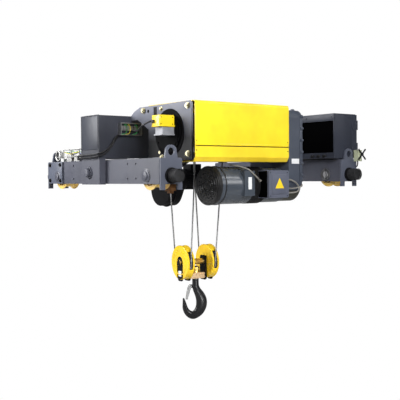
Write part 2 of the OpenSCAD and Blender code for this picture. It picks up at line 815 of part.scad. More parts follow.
// A drum-shaped shell: slots for the rope in its rim and an arch in its outer face
module block_cover(side) {
  x0 = sheave_off - cover_w / 2;
  x1 = sheave_off + cover_w / 2;
  difference() {
    x_rod(min(side * x0, side * x1), max(side * x0, side * x1), 0, 0, block_r);
    x_rod(min(side * (x0 + 4), side * (x1 - 4)), max(side * (x0 + 4), side * (x1 - 4)), 0, 0, block_r - 4);
    x_rod(min(side * (x0 - 1), side * (x0 + 5)), max(side * (x0 - 1), side * (x0 + 5)), 0, 0, block_axle_r);
    for (y = [-1, 1])
      bar([side * sheave_off - slot_w, min(y * 70, y * 110), -36],
          [side * sheave_off + slot_w, max(y * 70, y * 110), 70]);
    x_prism(min(side * (x1 - 5), side * (x1 + 1)), max(side * (x1 - 5), side * (x1 + 1))) {
      circle(r = arch_r);
      translate([-arch_r, -110]) square([2 * arch_r, 110]);
    }
    bar([min(side * (x1 - 9), side * (x1 + 1)), -arch_r, -110],
        [max(side * (x1 - 9), side * (x1 + 1)), arch_r, -80]);
    bar([min(side * x0, side * (x1 - 6)) + 6, -20, -110], [max(side * x0, side * (x1 - 6)) - 6, 20, -80]);
  }
}

module block_covers() {
  color("#f2b91b") at_block() for (side = [-1, 1]) block_cover(side);
}

module block_axle() {
  end = sheave_off + cover_w / 2 + 8;
  color("#b8923c") at_block() {
    x_rod(-end, end, 0, 0, block_axle_r);
  }
}

// Inner cheeks carry the crosshead, outer cheeks stand in the covers' arches
module block_cheeks() {
  color("#1f2024") at_block() {
    for (x = [-sheave_off + cover_w / 2 + 2, sheave_off - cover_w / 2 - 2 - cheek_t]) difference() {
      x_prism(x, x + cheek_t) soft_square(-34, -112, 34, 36, 16);
      x_rod(x - 1, x + cheek_t + 1, 0, 0, block_axle_r);
      x_rod(x - 1, x + cheek_t + 1, 0, crosshead_z - block_z, trunnion_r + running_gap);
    }
    for (x = [-sheave_off - cover_w / 2 + 1, sheave_off + cover_w / 2 - 7]) difference() {
      x_prism(x, x + 6) soft_square(-28, -112, 28, 28, 16);
      x_rod(x - 1, x + 7, 0, 0, block_axle_r);
    }
  }
}

module crosshead() {
  color("#a86a2c") at_block() translate([0, 0, crosshead_z - block_z]) difference() {
    union() {
      bar([-crosshead_l / 2, -26, -crosshead_h / 2], [crosshead_l / 2, 26, crosshead_h / 2]);
      x_rod(-crosshead_l / 2 - cheek_t - 1, crosshead_l / 2 + cheek_t + 1, 0, 0, trunnion_r);
    }
    translate([0, 0, -crosshead_h]) cylinder(h = 2 * crosshead_h, r = shank_r + running_gap);
  }
}

module at_hook() {
  translate([block_x, block_y, 0]) rotate([0, 0, hook_turn]) children();
}

// Nut over a thrust washer
module hook_nut() {
  top = crosshead_z + crosshead_h / 2;
  color("#6a6c72") at_hook() difference() {
    union() {
      translate([0, 0, top + 0.3]) cylinder(h = 9.7, r = 26);
      translate([0, 0, top + 10]) cylinder(h = 24, r = 24, $fn = 8);
    }
    translate([0, 0, top - 1]) cylinder(h = 40, r = shank_r);
  }
}

function hook_heading(i) =
  let (a = hook_line[max(i - 1, 0)], b = hook_line[min(i + 1, len(hook_line) - 1)])
  unit([b[0] - a[0], b[1] - a[1]]);
hook_sides = 12;
function hook_ring(i) =
  let (s = hook_line[i], t = i == 0 ? [0, -1] : hook_heading(i), side = [t[1], -t[0]])
  [for (k = [0 : hook_sides - 1])
    let (c = s[2] * cos(360 * k / hook_sides), d = s[3] * sin(360 * k / hook_sides))
    [s[0] + c * side[0], d, s[1] + c * side[1]]];

module hook() {
  n = len(hook_line);
  rings = [for (i = [0 : n - 1]) each hook_ring(i)];
  walls = [for (i = [0 : n - 2], k = [0 : hook_sides - 1])
    [i * hook_sides + k, (i + 1) * hook_sides + k,
     (i + 1) * hook_sides + (k + 1) % hook_sides, i * hook_sides + (k + 1) % hook_sides]];
  first = [for (k = [0 : hook_sides - 1]) k];
  last = [for (k = [hook_sides - 1 : -1 : 0]) (n - 1) * hook_sides + k];
  color("#1b1c20") at_hook() {
    polyhedron(points = rings, faces = concat([first], walls, [last]), convexity = 6);
    translate([0, 0, -594]) cylinder(h = 594 + crosshead_z - crosshead_h / 2 - 1, r = 20);
    translate([0, 0, -594]) cylinder(h = 594 + crosshead_z + crosshead_h / 2 + 38, r = shank_r);
    difference() {
      for (y = [-6, 2]) translate([latch_pivot[0] - 7, y, latch_pivot[1] - 9]) cube([20, 4, 18]);
      translate([latch_pivot[0], 0, latch_pivot[1]]) y_rod(0, -7, 7, 0, latch_pin_r + running_gap);
    }
  }
}

// Sprung tongue that closes the hook's mouth: two cheeks, a front plate and the pin
module latch() {
  color("#c4c6ca") at_hook() translate([latch_pivot[0], 0, latch_pivot[1]]) rotate([0, latch_lean, 0]) {
    for (y = [-11, 8]) translate([-6, y, -latch_l]) cube([11, 3, latch_l + 6]);
    translate([-8, -11, -latch_l]) cube([3, 22, latch_l - 16]);
    y_rod(0, -11, 11, 0, latch_pin_r);
  }
}

// ---------- Travel drive ----------

module travel_gearbox() {
  color("#1e1f24") difference() {
    union() {
      x_prism(travel_x0, travel_x1) hull() {
        translate([axle_y, axle_z]) circle(r = 62);
        translate([travel_sump[0], travel_sump[1]]) circle(r = travel_sump[2]);
        translate([travel_motor_y, travel_motor_z]) circle(r = 74);
      }
      x_rod(travel_x0 - 10, travel_x1 + 10, axle_y, axle_z, 36);
      x_prism(travel_x0 + 40, travel_x1 - 40)
        polygon([[cross_y1, cross_z0 + 90], [cross_y1, cross_z0 + 20], [380, 70], [420, 120]]);
    }
    x_rod(travel_x0 - 20, travel_x1 + 20, axle_y, axle_z, axle_r + running_gap);
  }
}

module travel_motor() {
  color("#1e1f24") {
    x_rod(travel_x1, travel_x1 + 16, travel_motor_y, travel_motor_z, travel_motor_r + 4);
    x_rod(travel_x1 + 16, travel_x1 + 210, travel_motor_y, travel_motor_z, travel_motor_r - 5);
    for (a = [0 : 15 : 359]) translate([travel_x1 + 20, travel_motor_y, travel_motor_z]) rotate([a, 0, 0])
      translate([0, travel_motor_r - 7, -1.5]) cube([180, 7, 3]);
    x_rod(travel_x1 + 210, travel_x1 + 270, travel_motor_y, travel_motor_z, travel_motor_r);
    bar([travel_x1 + 60, travel_motor_y - 45, travel_motor_z + travel_motor_r - 10],
        [travel_x1 + 150, travel_motor_y + 45, travel_motor_z + travel_motor_r + 36]);
  }
}

// ---------- Control cabinet ----------

// Box open on its outer side, with a panel let into its inner side
module cabinet() {
  color("#3f414b") difference() {
    bar([cab_x0, cab_y0, cab_z0], [cab_x1, cab_y1, cab_z1]);
    bar([cab_x0 + 14, cab_y0 + sheet_t, cab_z0 + sheet_t], [cab_x1 + 1, cab_y1 - sheet_t, cab_z1 - sheet_t]);
    bar([cab_x0 - 1, cab_y0 + 8, cab_z0 + 8], [cab_x0 + 10, cab_y1 - 8, cab_z1 - 45]);
  }
  color("#3f414b") for (z = hinge_z) difference() {
    union() {
      bar([cab_x1 - 30, cab_y0 - 4, z], [hinge_x, cab_y0, z + hinge_l]);
      translate([hinge_x, cab_y0, z]) cylinder(h = hinge_l, r = hinge_r);
    }
    translate([hinge_x, cab_y0, z - 1]) cylinder(h = hinge_l + 2, r = hinge_r / 2 + running_gap);
  }
  color("#2b2d33") for (y = [cab_y0 + 60, cab_y1 - 60])
    bar([rail_x - 50, y - 20, beam_z1], [rail_x + 50, y + 20, cab_z0]);
}

// Door on the outer side, hinged along its front edge
module cabinet_door() {
  x0 = cab_x1 + body_gap;
  color("#5b5d68") difference() {
    union() {
      bar([x0, cab_y0, cab_z0 + 3], [x0 + door_t, cab_y1, cab_z1 - 3]);
      bar([x0 + door_t, cab_y1 - 60, cab_z0 + 120], [x0 + door_t + 12, cab_y1 - 46, cab_z0 + 170]);
    }
    bar([x0 - 1, cab_y0 + 12, cab_z0 + 12], [x0 + door_t - 2, cab_y1 - 12, cab_z1 - 12]);
    for (z = hinge_z) translate([hinge_x, cab_y0, z - 1]) cylinder(h = hinge_l + 1.5, r = hinge_r + 1);
  }
  color("#5b5d68") for (z = hinge_z) {
    translate([hinge_x, cab_y0, z + hinge_l + 0.5]) cylinder(h = hinge_l, r = hinge_r);
    translate([hinge_x, cab_y0, z]) cylinder(h = hinge_l + 1, r = hinge_r / 2);
  }
}

module contactors() {
  x0 = cab_x0 + 14;
  color("#c9cbcf") bar([x0, cab_y0 + 30, cab_z0 + 20], [x0 + 4, cab_y1 - 30, cab_z1 - 24]);
  color("#24252a") for (row = [0, 1], i = [0 : 4])
    bar([x0 + 4, cab_y0 + 50 + i * 78, cab_z0 + 40 + row * 120],
        [x0 + 74, cab_y0 + 50 + i * 78 + 56, cab_z0 + 40 + row * 120 + 80]);
}

// ---------- Travel limit switch ----------

switch_x = beam_out - 26;
switch_y = -end_y - plate_t;

module travel_limit_switch() {
  color("#c9cdb0") {
    bar([switch_x, switch_y - 38, 146], [switch_x + 34, switch_y, 218]);
    y_rod(switch_x + 17, switch_y - 50, switch_y - 38, 190, 10);
  }
}

module switch_lever() {
  color("#1a1b1f") translate([switch_x + 17, switch_y - 51, 190]) {
    rotate([90, 0, 0]) cylinder(h = 8, r = 11);
    for (a = [0, 90]) rotate([0, a + 45, 0]) translate([-46, -7, -4]) cube([92, 6, 8]);
  }
}

// ---------- Cables ----------

module wiring_bracket() {
  x0 = -681;
  x1 = -534;
  z0 = 303;
  z1 = 376;
  color("#a9abb0") {
    for (z = [z0, z1 - 4]) bar([x0, cross_y0 - 34, z], [x1, cross_y0, z + 4]);
    for (x = [x0, x1 - 4]) bar([x, cross_y0 - 34, z0 + 4], [x + 4, cross_y0, z1 - 4]);
    bar([x0 + 4, cross_y0 - 5, z0 + 34], [x1 - 4, cross_y0, z0 + 48]);
  }
  color("#3f7a3a") for (i = [0 : 8])
    bar([x0 + 12 + i * 14, cross_y0 - 26, z0 + 28], [x0 + 22 + i * 14, cross_y0 - 5, z0 + 56]);
}

module held_cables() {
  color("#17181b") {
    tube(cable_route, cable_r);
    tube([for (p = cable_route) p + [0, -2, -cable_gap]], cable_r);
  }
}

// Small wire rack on the left beam with its boxes and a hung coil of cable
module cable_rack() {
  x0 = -rail_x - 46;
  x1 = -rail_x + 10;
  y0 = 270;
  y1 = 470;
  z0 = beam_z1;
  color("#b4b6ba") {
    for (x = [x0, x1], y = [y0, (y0 + y1) / 2, y1]) bar([x, y, z0], [x + 5, y + 5, z0 + 78]);
    for (x = [x0, x1], z = [z0 + 30, z0 + 73]) bar([x, y0, z], [x + 5, y1 + 5, z + 5]);
    for (y = [y0, (y0 + y1) / 2, y1]) bar([x0, y, z0 + 73], [x1 + 5, y + 5, z0 + 78]);
  }
  color("#d6d8da") for (y = [y0 + 16, y0 + 112])
    bar([x0 + 12, y, z0], [x1 - 6, y + 70, z0 + 46]);
  color("#17181b") translate([-rail_x - 20, y1 + 108, z0 + 34 + 5]) rotate([0, 90, 0])
    rotate_extrude() translate([30, 0]) soft_square(-6, -12, 6, 12, 5);
  color("#8d9095") bar([-rail_x - 24, y1 + 60, z0], [-rail_x - 16, y1 + 74, z0 + 60]);
}

left_carriage_beam();
right_carriage_beam();
end_plates();
buffers();
bearings();
front_left_wheel();
front_right_wheel();
rear_left_wheel();
rear_right_wheel();
front_left_axle();
front_right_axle();
drive_shaft();
cross_beam();
hangers();
pivot_pins();
hoist_side_plates();
tie_rods();
upper_cover();
lower_cover();
drum();
drum_rope();
drum_shaft();
drum_end_cover();
limit_switch_body();
limit_switch_cover();
rope_guide();
gearbox_case();
gearbox_lid();
output_gear();
intermediate_gears();
motor_rotor();
motor_housing();
fan_cover();
terminal_box();
return_sheave();
return_sheave_bracket();
rope_anchor();
rope_fall_1();
rope_fall_2();
rope_fall_3();
rope_fall_4();
left_sheave();
right_sheave();
block_covers();
block_axle();
block_cheeks();
crosshead();
hook_nut();
hook();
latch();
travel_gearbox();
travel_motor();
cabinet();
cabinet_door();
contactors();
travel_limit_switch();
switch_lever();
wiring_bracket();
held_cables();
cable_rack();
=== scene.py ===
"""Looks of the electric wire rope hoist: materials, ropes, cables, fittings, light and camera."""
import json
import math
import random

import bmesh
import bpy
from mathutils import Matrix, Vector


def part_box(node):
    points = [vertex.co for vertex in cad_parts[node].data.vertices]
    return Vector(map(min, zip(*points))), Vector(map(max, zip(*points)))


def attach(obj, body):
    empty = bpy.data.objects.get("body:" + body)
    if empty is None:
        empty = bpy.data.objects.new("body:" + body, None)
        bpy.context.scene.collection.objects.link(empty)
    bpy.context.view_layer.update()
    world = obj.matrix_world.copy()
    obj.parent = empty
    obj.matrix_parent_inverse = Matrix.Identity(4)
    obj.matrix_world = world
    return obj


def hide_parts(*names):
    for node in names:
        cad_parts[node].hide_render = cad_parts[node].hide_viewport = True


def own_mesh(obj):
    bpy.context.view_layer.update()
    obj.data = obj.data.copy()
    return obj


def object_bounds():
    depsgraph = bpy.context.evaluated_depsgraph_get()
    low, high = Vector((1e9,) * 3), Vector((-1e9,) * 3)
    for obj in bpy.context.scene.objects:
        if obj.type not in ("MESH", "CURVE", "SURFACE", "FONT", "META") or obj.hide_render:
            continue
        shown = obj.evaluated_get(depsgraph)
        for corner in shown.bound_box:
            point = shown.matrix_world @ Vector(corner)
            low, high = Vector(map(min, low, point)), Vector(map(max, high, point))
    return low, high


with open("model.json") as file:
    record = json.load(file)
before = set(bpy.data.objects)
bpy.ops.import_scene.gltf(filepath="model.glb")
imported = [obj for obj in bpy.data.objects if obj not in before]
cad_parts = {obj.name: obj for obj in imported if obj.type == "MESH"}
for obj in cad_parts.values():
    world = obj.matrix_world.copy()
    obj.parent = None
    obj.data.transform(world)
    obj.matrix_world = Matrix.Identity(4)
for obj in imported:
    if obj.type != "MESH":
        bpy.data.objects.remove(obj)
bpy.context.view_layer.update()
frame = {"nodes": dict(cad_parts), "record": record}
random.seed(7)
NODES = frame["nodes"]
MM = 0.001


# ---------- Camera, floor and light ----------

CAMERA_AT = Vector((-3.198, -4.090, 0.056))
CAMERA_AZIMUTH = math.radians(37.9)
CAMERA_TILT = math.radians(-1.67)
CAMERA_ROLL = math.radians(-0.5)
CAMERA_LENS = 72.0
FLOOR_DROP = 0.05
ROOM_LIGHT = (0.05, 0.2)


def make_camera():
    data = bpy.data.cameras.new("camera")
    data.lens = CAMERA_LENS
    data.sensor_width = 36.0
    data.clip_end = 100.0
    cam = bpy.data.objects.new("camera", data)
    bpy.context.collection.objects.link(cam)
    turn = Matrix.Rotation(-CAMERA_AZIMUTH, 4, "Z") @ Matrix.Rotation(math.pi / 2 + CAMERA_TILT, 4, "X")
    cam.matrix_world = Matrix.Translation(CAMERA_AT) @ turn @ Matrix.Rotation(CAMERA_ROLL, 4, "Z")
    bpy.context.scene.camera = cam


def area_light(name, at, towards, size, power, spread=180, colour=(1, 1, 1)):
    data = bpy.data.lights.new(name, "AREA")
    data.shape = "RECTANGLE"
    data.size, data.size_y = size
    data.energy = power
    data.spread = math.radians(spread)
    data.color = colour
    lamp = bpy.data.objects.new(name, data)
    bpy.context.collection.objects.link(lamp)
    lamp.location = at
    lamp.rotation_euler = (Vector(towards) - Vector(at)).to_track_quat("-Z", "Y").to_euler()


def camera_white(tree, other, colour):
    """A closure that is plain white to the camera and another closure to every other ray."""
    path = tree.nodes.new("ShaderNodeLightPath")
    white = tree.nodes.new("ShaderNodeEmission")
    white.inputs["Color"].default_value = (*colour, 1)
    mix = tree.nodes.new("ShaderNodeMixShader")
    tree.links.new(path.outputs["Is Camera Ray"], mix.inputs["Fac"])
    tree.links.new(other, mix.inputs[1])
    tree.links.new(white.outputs["Emission"], mix.inputs[2])
    return mix.outputs["Shader"]


def make_world():
    """White behind the object, and a dimmer room for light and reflections, brightest overhead."""
    world = bpy.data.worlds.new("studio")
    bpy.context.scene.world = world
    world.use_nodes = True
    tree = world.node_tree
    room = tree.nodes["Background"]
    coord = tree.nodes.new("ShaderNodeTexCoord")
    split = tree.nodes.new("ShaderNodeSeparateXYZ")
    tree.links.new(coord.outputs["Generated"], split.inputs["Vector"])
    spread = tree.nodes.new("ShaderNodeMapRange")
    for name, number in zip(("From Min", "From Max", "To Min", "To Max"), (-0.2, 0.9, *ROOM_LIGHT)):
        spread.inputs[name].default_value = number
    tree.links.new(split.outputs["Z"], spread.inputs["Value"])
    tree.links.new(spread.outputs["Result"], room.inputs["Strength"])
    room.inputs["Color"].default_value = (0.93, 0.96, 1.0, 1)
    tree.links.new(camera_white(tree, room.outputs["Background"], (1, 1, 1)),
                   tree.nodes["World Output"].inputs["Surface"])


def make_floor():
    mesh = bpy.data.meshes.new("floor")
    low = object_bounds()[0][2] - FLOOR_DROP
    half = 40.0
    mesh.from_pydata([(-half, -half, low), (half, -half, low), (half, half, low), (-half, half, low)], [],
                     [(0, 1, 2, 3)])
    floor = bpy.data.objects.new("floor", mesh)
    bpy.context.collection.objects.link(floor)
    mat = bpy.data.materials.new("floor_white")
    mat.use_nodes = True
    tree = mat.node_tree
    shader = tree.nodes["Principled BSDF"]
    shader.inputs["Base Color"].default_value = (0.4, 0.4, 0.4, 1)
    shader.inputs["Roughness"].default_value = 0.9
    tree.links.new(camera_white(tree, shader.outputs["BSDF"], (1, 1, 1)),
                   tree.nodes["Material Output"].inputs["Surface"])
    mesh.materials.append(mat)


def make_stage():
    scene = bpy.context.scene
    scene.view_settings.view_transform = "Standard"
    scene.view_settings.exposure = 0.0
    make_world()
    make_floor()
    area_light("left_key", (-3.6, 2.0, 1.3), (-0.5, 0, 0.1), (1.8, 2.2), 250)
    area_light("front_key", (-1.2, -3.1, 1.3), (0, -0.4, 0.1), (1.4, 1.0), 100)
    area_light("glint", (2.3, -3.2, 2.7), (-0.1, -0.5, 0), (1.3, 0.4), 22)
    area_light("top", (-0.8, 0.4, 3.4), (-0.2, 0, 0), (2.4, 2.4), 55)
    area_light("back_fill", (1.5, 5.0, 2.0), (0, 0, 0.1), (2.5, 1.5), 120)
    area_light("block_fill", (-0.7, -2.6, -0.75), (-0.25, -0.25, -0.55), (0.5, 0.4), 0.7, spread=28)
    area_light("motor_fill", (1.7, -2.9, 0.9), (-0.3, -0.67, 0.02), (1.6, 1.2), 0.8, spread=24)


# ---------- Materials ----------

class Graph:
    """A material's node tree, built by short calls."""

    def __init__(self, name):
        self.mat = bpy.data.materials.new(name)
        self.mat.use_nodes = True
        self.nodes = self.mat.node_tree.nodes
        self.links = self.mat.node_tree.links
        self.shader = self.nodes["Principled BSDF"]
        self.coord = self.nodes.new("ShaderNodeTexCoord")

    def link(self, a, b):
        self.links.new(a, b)

    def noise(self, scale, detail=4.0, rough=0.5, stretch=None):
        node = self.nodes.new("ShaderNodeTexNoise")
        node.inputs["Scale"].default_value = scale
        node.inputs["Detail"].default_value = detail
        node.inputs["Roughness"].default_value = rough
        source = self.coord.outputs["Object"]
        if stretch:
            place = self.nodes.new("ShaderNodeMapping")
            place.inputs["Scale"].default_value = stretch
            self.link(source, place.inputs["Vector"])
            source = place.outputs["Vector"]
        self.link(source, node.inputs["Vector"])
        return node.outputs["Fac"]

    def ramp(self, value, stops):
        node = self.nodes.new("ShaderNodeValToRGB")
        ramp = node.color_ramp
        while len(ramp.elements) < len(stops):
            ramp.elements.new(0.5)
        for element, (at, colour) in zip(ramp.elements, stops):
            element.position = at
            element.color = colour if len(colour) == 4 else (*colour, 1)
        self.link(value, node.inputs["Fac"])
        return node.outputs["Color"]

    def spread(self, value, low, high, out_low, out_high):
        node = self.nodes.new("ShaderNodeMapRange")
        for name, number in zip(("From Min", "From Max", "To Min", "To Max"), (low, high, out_low, out_high)):
            node.inputs[name].default_value = number
        self.link(value, node.inputs["Value"])
        return node.outputs["Result"]

    def mix(self, share, a, b):
        node = self.nodes.new("ShaderNodeMix")
        node.data_type = "RGBA"
        for key, value in (("Factor", share), ("A", a), ("B", b)):
            socket = next(s for s in node.inputs if s.name == key and (key == "Factor" or s.type == "RGBA"))
            if isinstance(value, (tuple, list)):
                socket.default_value = (*value, 1)
            elif isinstance(value, float):
                socket.default_value = value
            else:
                self.link(value, socket)
        return next(s for s in node.outputs if s.type == "RGBA")

    def math(self, kind, a, b):
        node = self.nodes.new("ShaderNodeMath")
        node.operation = kind
        for socket, value in zip(node.inputs, (a, b)):
            if isinstance(value, (int, float)):
                socket.default_value = value
            else:
                self.link(value, socket)
        return node.outputs["Value"]

    def edges(self, width):
        """0 on flat faces, rising to 1 along convex and concave edges."""
        bevel = self.nodes.new("ShaderNodeBevel")
        bevel.samples = 4
        bevel.inputs["Radius"].default_value = width
        geometry = self.nodes.new("ShaderNodeNewGeometry")
        dot = self.nodes.new("ShaderNodeVectorMath")
        dot.operation = "DOT_PRODUCT"
        self.link(bevel.outputs["Normal"], dot.inputs[0])
        self.link(geometry.outputs["Normal"], dot.inputs[1])
        return self.spread(dot.outputs["Value"], 0.995, 0.86, 0.0, 1.0)

    def finish(self, colour, rough, bump=None, bump_depth=0.0002, round_edge=0.0, metal=0.0):
        ins = self.shader.inputs
        if isinstance(colour, (tuple, list)):
            ins["Base Color"].default_value = (*colour, 1)
        else:
            self.link(colour, ins["Base Color"])
        if isinstance(rough, float):
            ins["Roughness"].default_value = rough
        else:
            self.link(rough, ins["Roughness"])
        ins["Metallic"].default_value = metal
        normal = None
        if round_edge:
            bevel = self.nodes.new("ShaderNodeBevel")
            bevel.samples = 4
            bevel.inputs["Radius"].default_value = round_edge
            normal = bevel.outputs["Normal"]
        if bump is not None:
            node = self.nodes.new("ShaderNodeBump")
            node.inputs["Strength"].default_value = 1.0
            node.inputs["Distance"].default_value = bump_depth
            self.link(bump, node.inputs["Height"])
            if normal:
                self.link(normal, node.inputs["Normal"])
            normal = node.outputs["Normal"]
        if normal:
            self.link(normal, ins["Normal"])
        return self.mat


def tint(colour, factor):
    return tuple(min(1.0, c * factor) for c in colour)


def paint(name, colour, rough=0.38, grain=900.0, depth=0.00006, wear=0.25, coat=0.0, round_edge=0.0015,
          bare=(0.32, 0.32, 0.33), dust=0.03, gloss=0.3):
    """Sprayed paint: orange-peel grain, soft tone changes, dust and edges rubbed a little."""
    g = Graph(name)
    tone = g.noise(5.0, 3.0, 0.55)
    base = g.mix(g.spread(tone, 0.3, 0.7, 0.0, 1.0), tint(colour, 0.88), tint(colour, 1.1))
    streak = g.noise(14.0, 5.0, 0.65, stretch=(1.0, 1.0, 0.25))
    base = g.mix(g.spread(streak, 0.56, 0.82, 0.0, dust), base, (0.55, 0.53, 0.5))
    rub = g.math("MULTIPLY", g.edges(0.003), g.spread(g.noise(60.0, 6.0, 0.7), 0.42, 0.62, 0.0, wear))
    base = g.mix(rub, base, bare)
    roughness = g.spread(g.noise(9.0, 4.0, 0.6), 0.3, 0.7, rough - 0.06, rough + 0.08)
    g.shader.inputs["Specular IOR Level"].default_value = gloss
    g.shader.inputs["Coat Weight"].default_value = coat
    g.shader.inputs["Coat Roughness"].default_value = 0.12
    return g.finish(base, roughness, g.noise(grain, 2.0, 0.5), depth, round_edge)


def steel(name, colour, rough=0.3, brush=None, wear=0.0, round_edge=0.0008):
    """Machined or plated steel, brushed along one direction when asked."""
    g = Graph(name)
    fine = g.noise(240.0, 4.0, 0.6, stretch=brush) if brush else g.noise(120.0, 5.0, 0.6)
    base = g.mix(g.spread(fine, 0.3, 0.7, 0.0, 1.0), tint(colour, 0.8), tint(colour, 1.12))
    blot = g.noise(18.0, 5.0, 0.6)
    base = g.mix(g.spread(blot, 0.5, 0.8, 0.0, 0.35 + wear), base, tint(colour, 0.45))
    roughness = g.spread(blot, 0.3, 0.75, rough - 0.05, rough + 0.18)
    return g.finish(base, roughness, fine, 0.00004, round_edge, metal=1.0)


def cast(name, colour, rough=0.55, metal=0.6):
    g = Graph(name)
    lumps = g.noise(220.0, 5.0, 0.6)
    base = g.mix(g.spread(g.noise(20.0, 4.0, 0.6), 0.3, 0.75, 0.0, 1.0), tint(colour, 0.75), tint(colour, 1.25))
    return g.finish(base, rough, lumps, 0.0002, 0.0015, metal=metal)


def plastic(name, colour, rough=0.45, round_edge=0.001):
    g = Graph(name)
    base = g.mix(g.spread(g.noise(12.0, 4.0, 0.5), 0.3, 0.7, 0.0, 1.0), tint(colour, 0.9), tint(colour, 1.12))
    roughness = g.spread(g.noise(30.0, 3.0, 0.5), 0.3, 0.7, rough - 0.06, rough + 0.06)
    g.shader.inputs["Specular IOR Level"].default_value = 0.3
    return g.finish(base, roughness, g.noise(1400.0, 2.0, 0.5), 0.00003, round_edge)


def rubber(name, colour, rough=0.7):
    g = Graph(name)
    base = g.mix(g.spread(g.noise(25.0, 5.0, 0.6), 0.35, 0.75, 0.0, 0.6), colour, tint(colour, 2.6))
    g.shader.inputs["Specular IOR Level"].default_value = 0.25
    return g.finish(base, rough, g.noise(700.0, 3.0, 0.6), 0.00008, 0.001)


def wheel_paint(name):
    """Ochre paint with the tread and flange faces worn to bright steel."""
    g = Graph(name)
    tone = g.noise(30.0, 4.0, 0.6)
    base = g.mix(g.spread(tone, 0.3, 0.7, 0.0, 1.0), (0.66, 0.40, 0.06), (0.85, 0.58, 0.14))
    rub = g.math("MULTIPLY", g.edges(0.006), g.spread(g.noise(90.0, 5.0, 0.7), 0.4, 0.6, 0.0, 0.8))
    base = g.mix(rub, base, (0.42, 0.4, 0.38))
    return g.finish(base, 0.42, g.noise(400.0, 3.0, 0.5), 0.0001, 0.0012)


def slate_with_painted_light(name, colour):
    """Slate paint with painted light and shade, pale towards its top edge and nearly black lower down."""
    g = Graph(name)
    split = g.nodes.new("ShaderNodeSeparateXYZ")
    g.link(g.coord.outputs["Object"], split.inputs["Vector"])
    height = g.math("ADD", split.outputs["Z"], g.math("MULTIPLY", g.noise(4.0, 4.0, 0.6), 0.08))
    # Painted light and shade: the colour rises with height from near-black to pale, lit at the top and shaded below
    base = g.mix(g.spread(height, 0.3, 0.54, 0.0, 1.0), tint(colour, 0.14), tint(colour, 5.6))
    rub = g.math("MULTIPLY", g.edges(0.003), g.spread(g.noise(60.0, 6.0, 0.7), 0.42, 0.62, 0.0, 0.3))
    base = g.mix(rub, base, (0.4, 0.4, 0.42))
    g.shader.inputs["Specular IOR Level"].default_value = 0.08
    return g.finish(base, 0.42, g.noise(900.0, 2.0, 0.5), 0.00006, 0.0015)


def two_tone_case(name):
    """Gearbox paint: blue grey above, an olive-dark primer on the flange below the sump."""
    g = Graph(name)
    split = g.nodes.new("ShaderNodeSeparateXYZ")
    g.link(g.coord.outputs["Object"], split.inputs["Vector"])
    upper = g.spread(split.outputs["Z"], -0.034, -0.03, 0.0, 1.0)
    tone = g.spread(g.noise(6.0, 4.0, 0.55), 0.3, 0.7, 0.0, 1.0)
    high = g.mix(tone, (0.044, 0.052, 0.072), (0.062, 0.072, 0.096))
    low = g.mix(tone, (0.03, 0.03, 0.02), (0.055, 0.052, 0.035))
    g.shader.inputs["Specular IOR Level"].default_value = 0.3
    base = g.mix(upper, low, high)
    rub = g.math("MULTIPLY", g.edges(0.003), g.spread(g.noise(60.0, 6.0, 0.7), 0.42, 0.62, 0.0, 0.3))
    base = g.mix(rub, base, (0.3, 0.31, 0.33))
    return g.finish(base, 0.4, g.noise(500.0, 4.0, 0.55), 0.00012, 0.002)


def fan_cover_sheet(name):
    """The fan cover's painted sleeve, dark over the guard at its end."""
    g = Graph(name)
    split = g.nodes.new("ShaderNodeSeparateXYZ")
    g.link(g.coord.outputs["Object"], split.inputs["Vector"])
    guard_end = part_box("fan_cover")[0][0] + 0.024
    sleeve = g.spread(split.outputs["X"], guard_end, guard_end + 0.001, 0.0, 1.0)
    tone = g.spread(g.noise(6.0, 4.0, 0.55), 0.3, 0.7, 0.0, 1.0)
    body = g.mix(tone, (0.046, 0.055, 0.07), (0.056, 0.066, 0.083))
    base = g.mix(sleeve, (0.006, 0.006, 0.0065), body)
    g.shader.inputs["Specular IOR Level"].default_value = 0.4
    return g.finish(base, g.spread(split.outputs["X"], guard_end, guard_end + 0.001, 0.55, 0.26),
                    g.noise(600.0, 3.0, 0.5), 0.00006, 0.001)


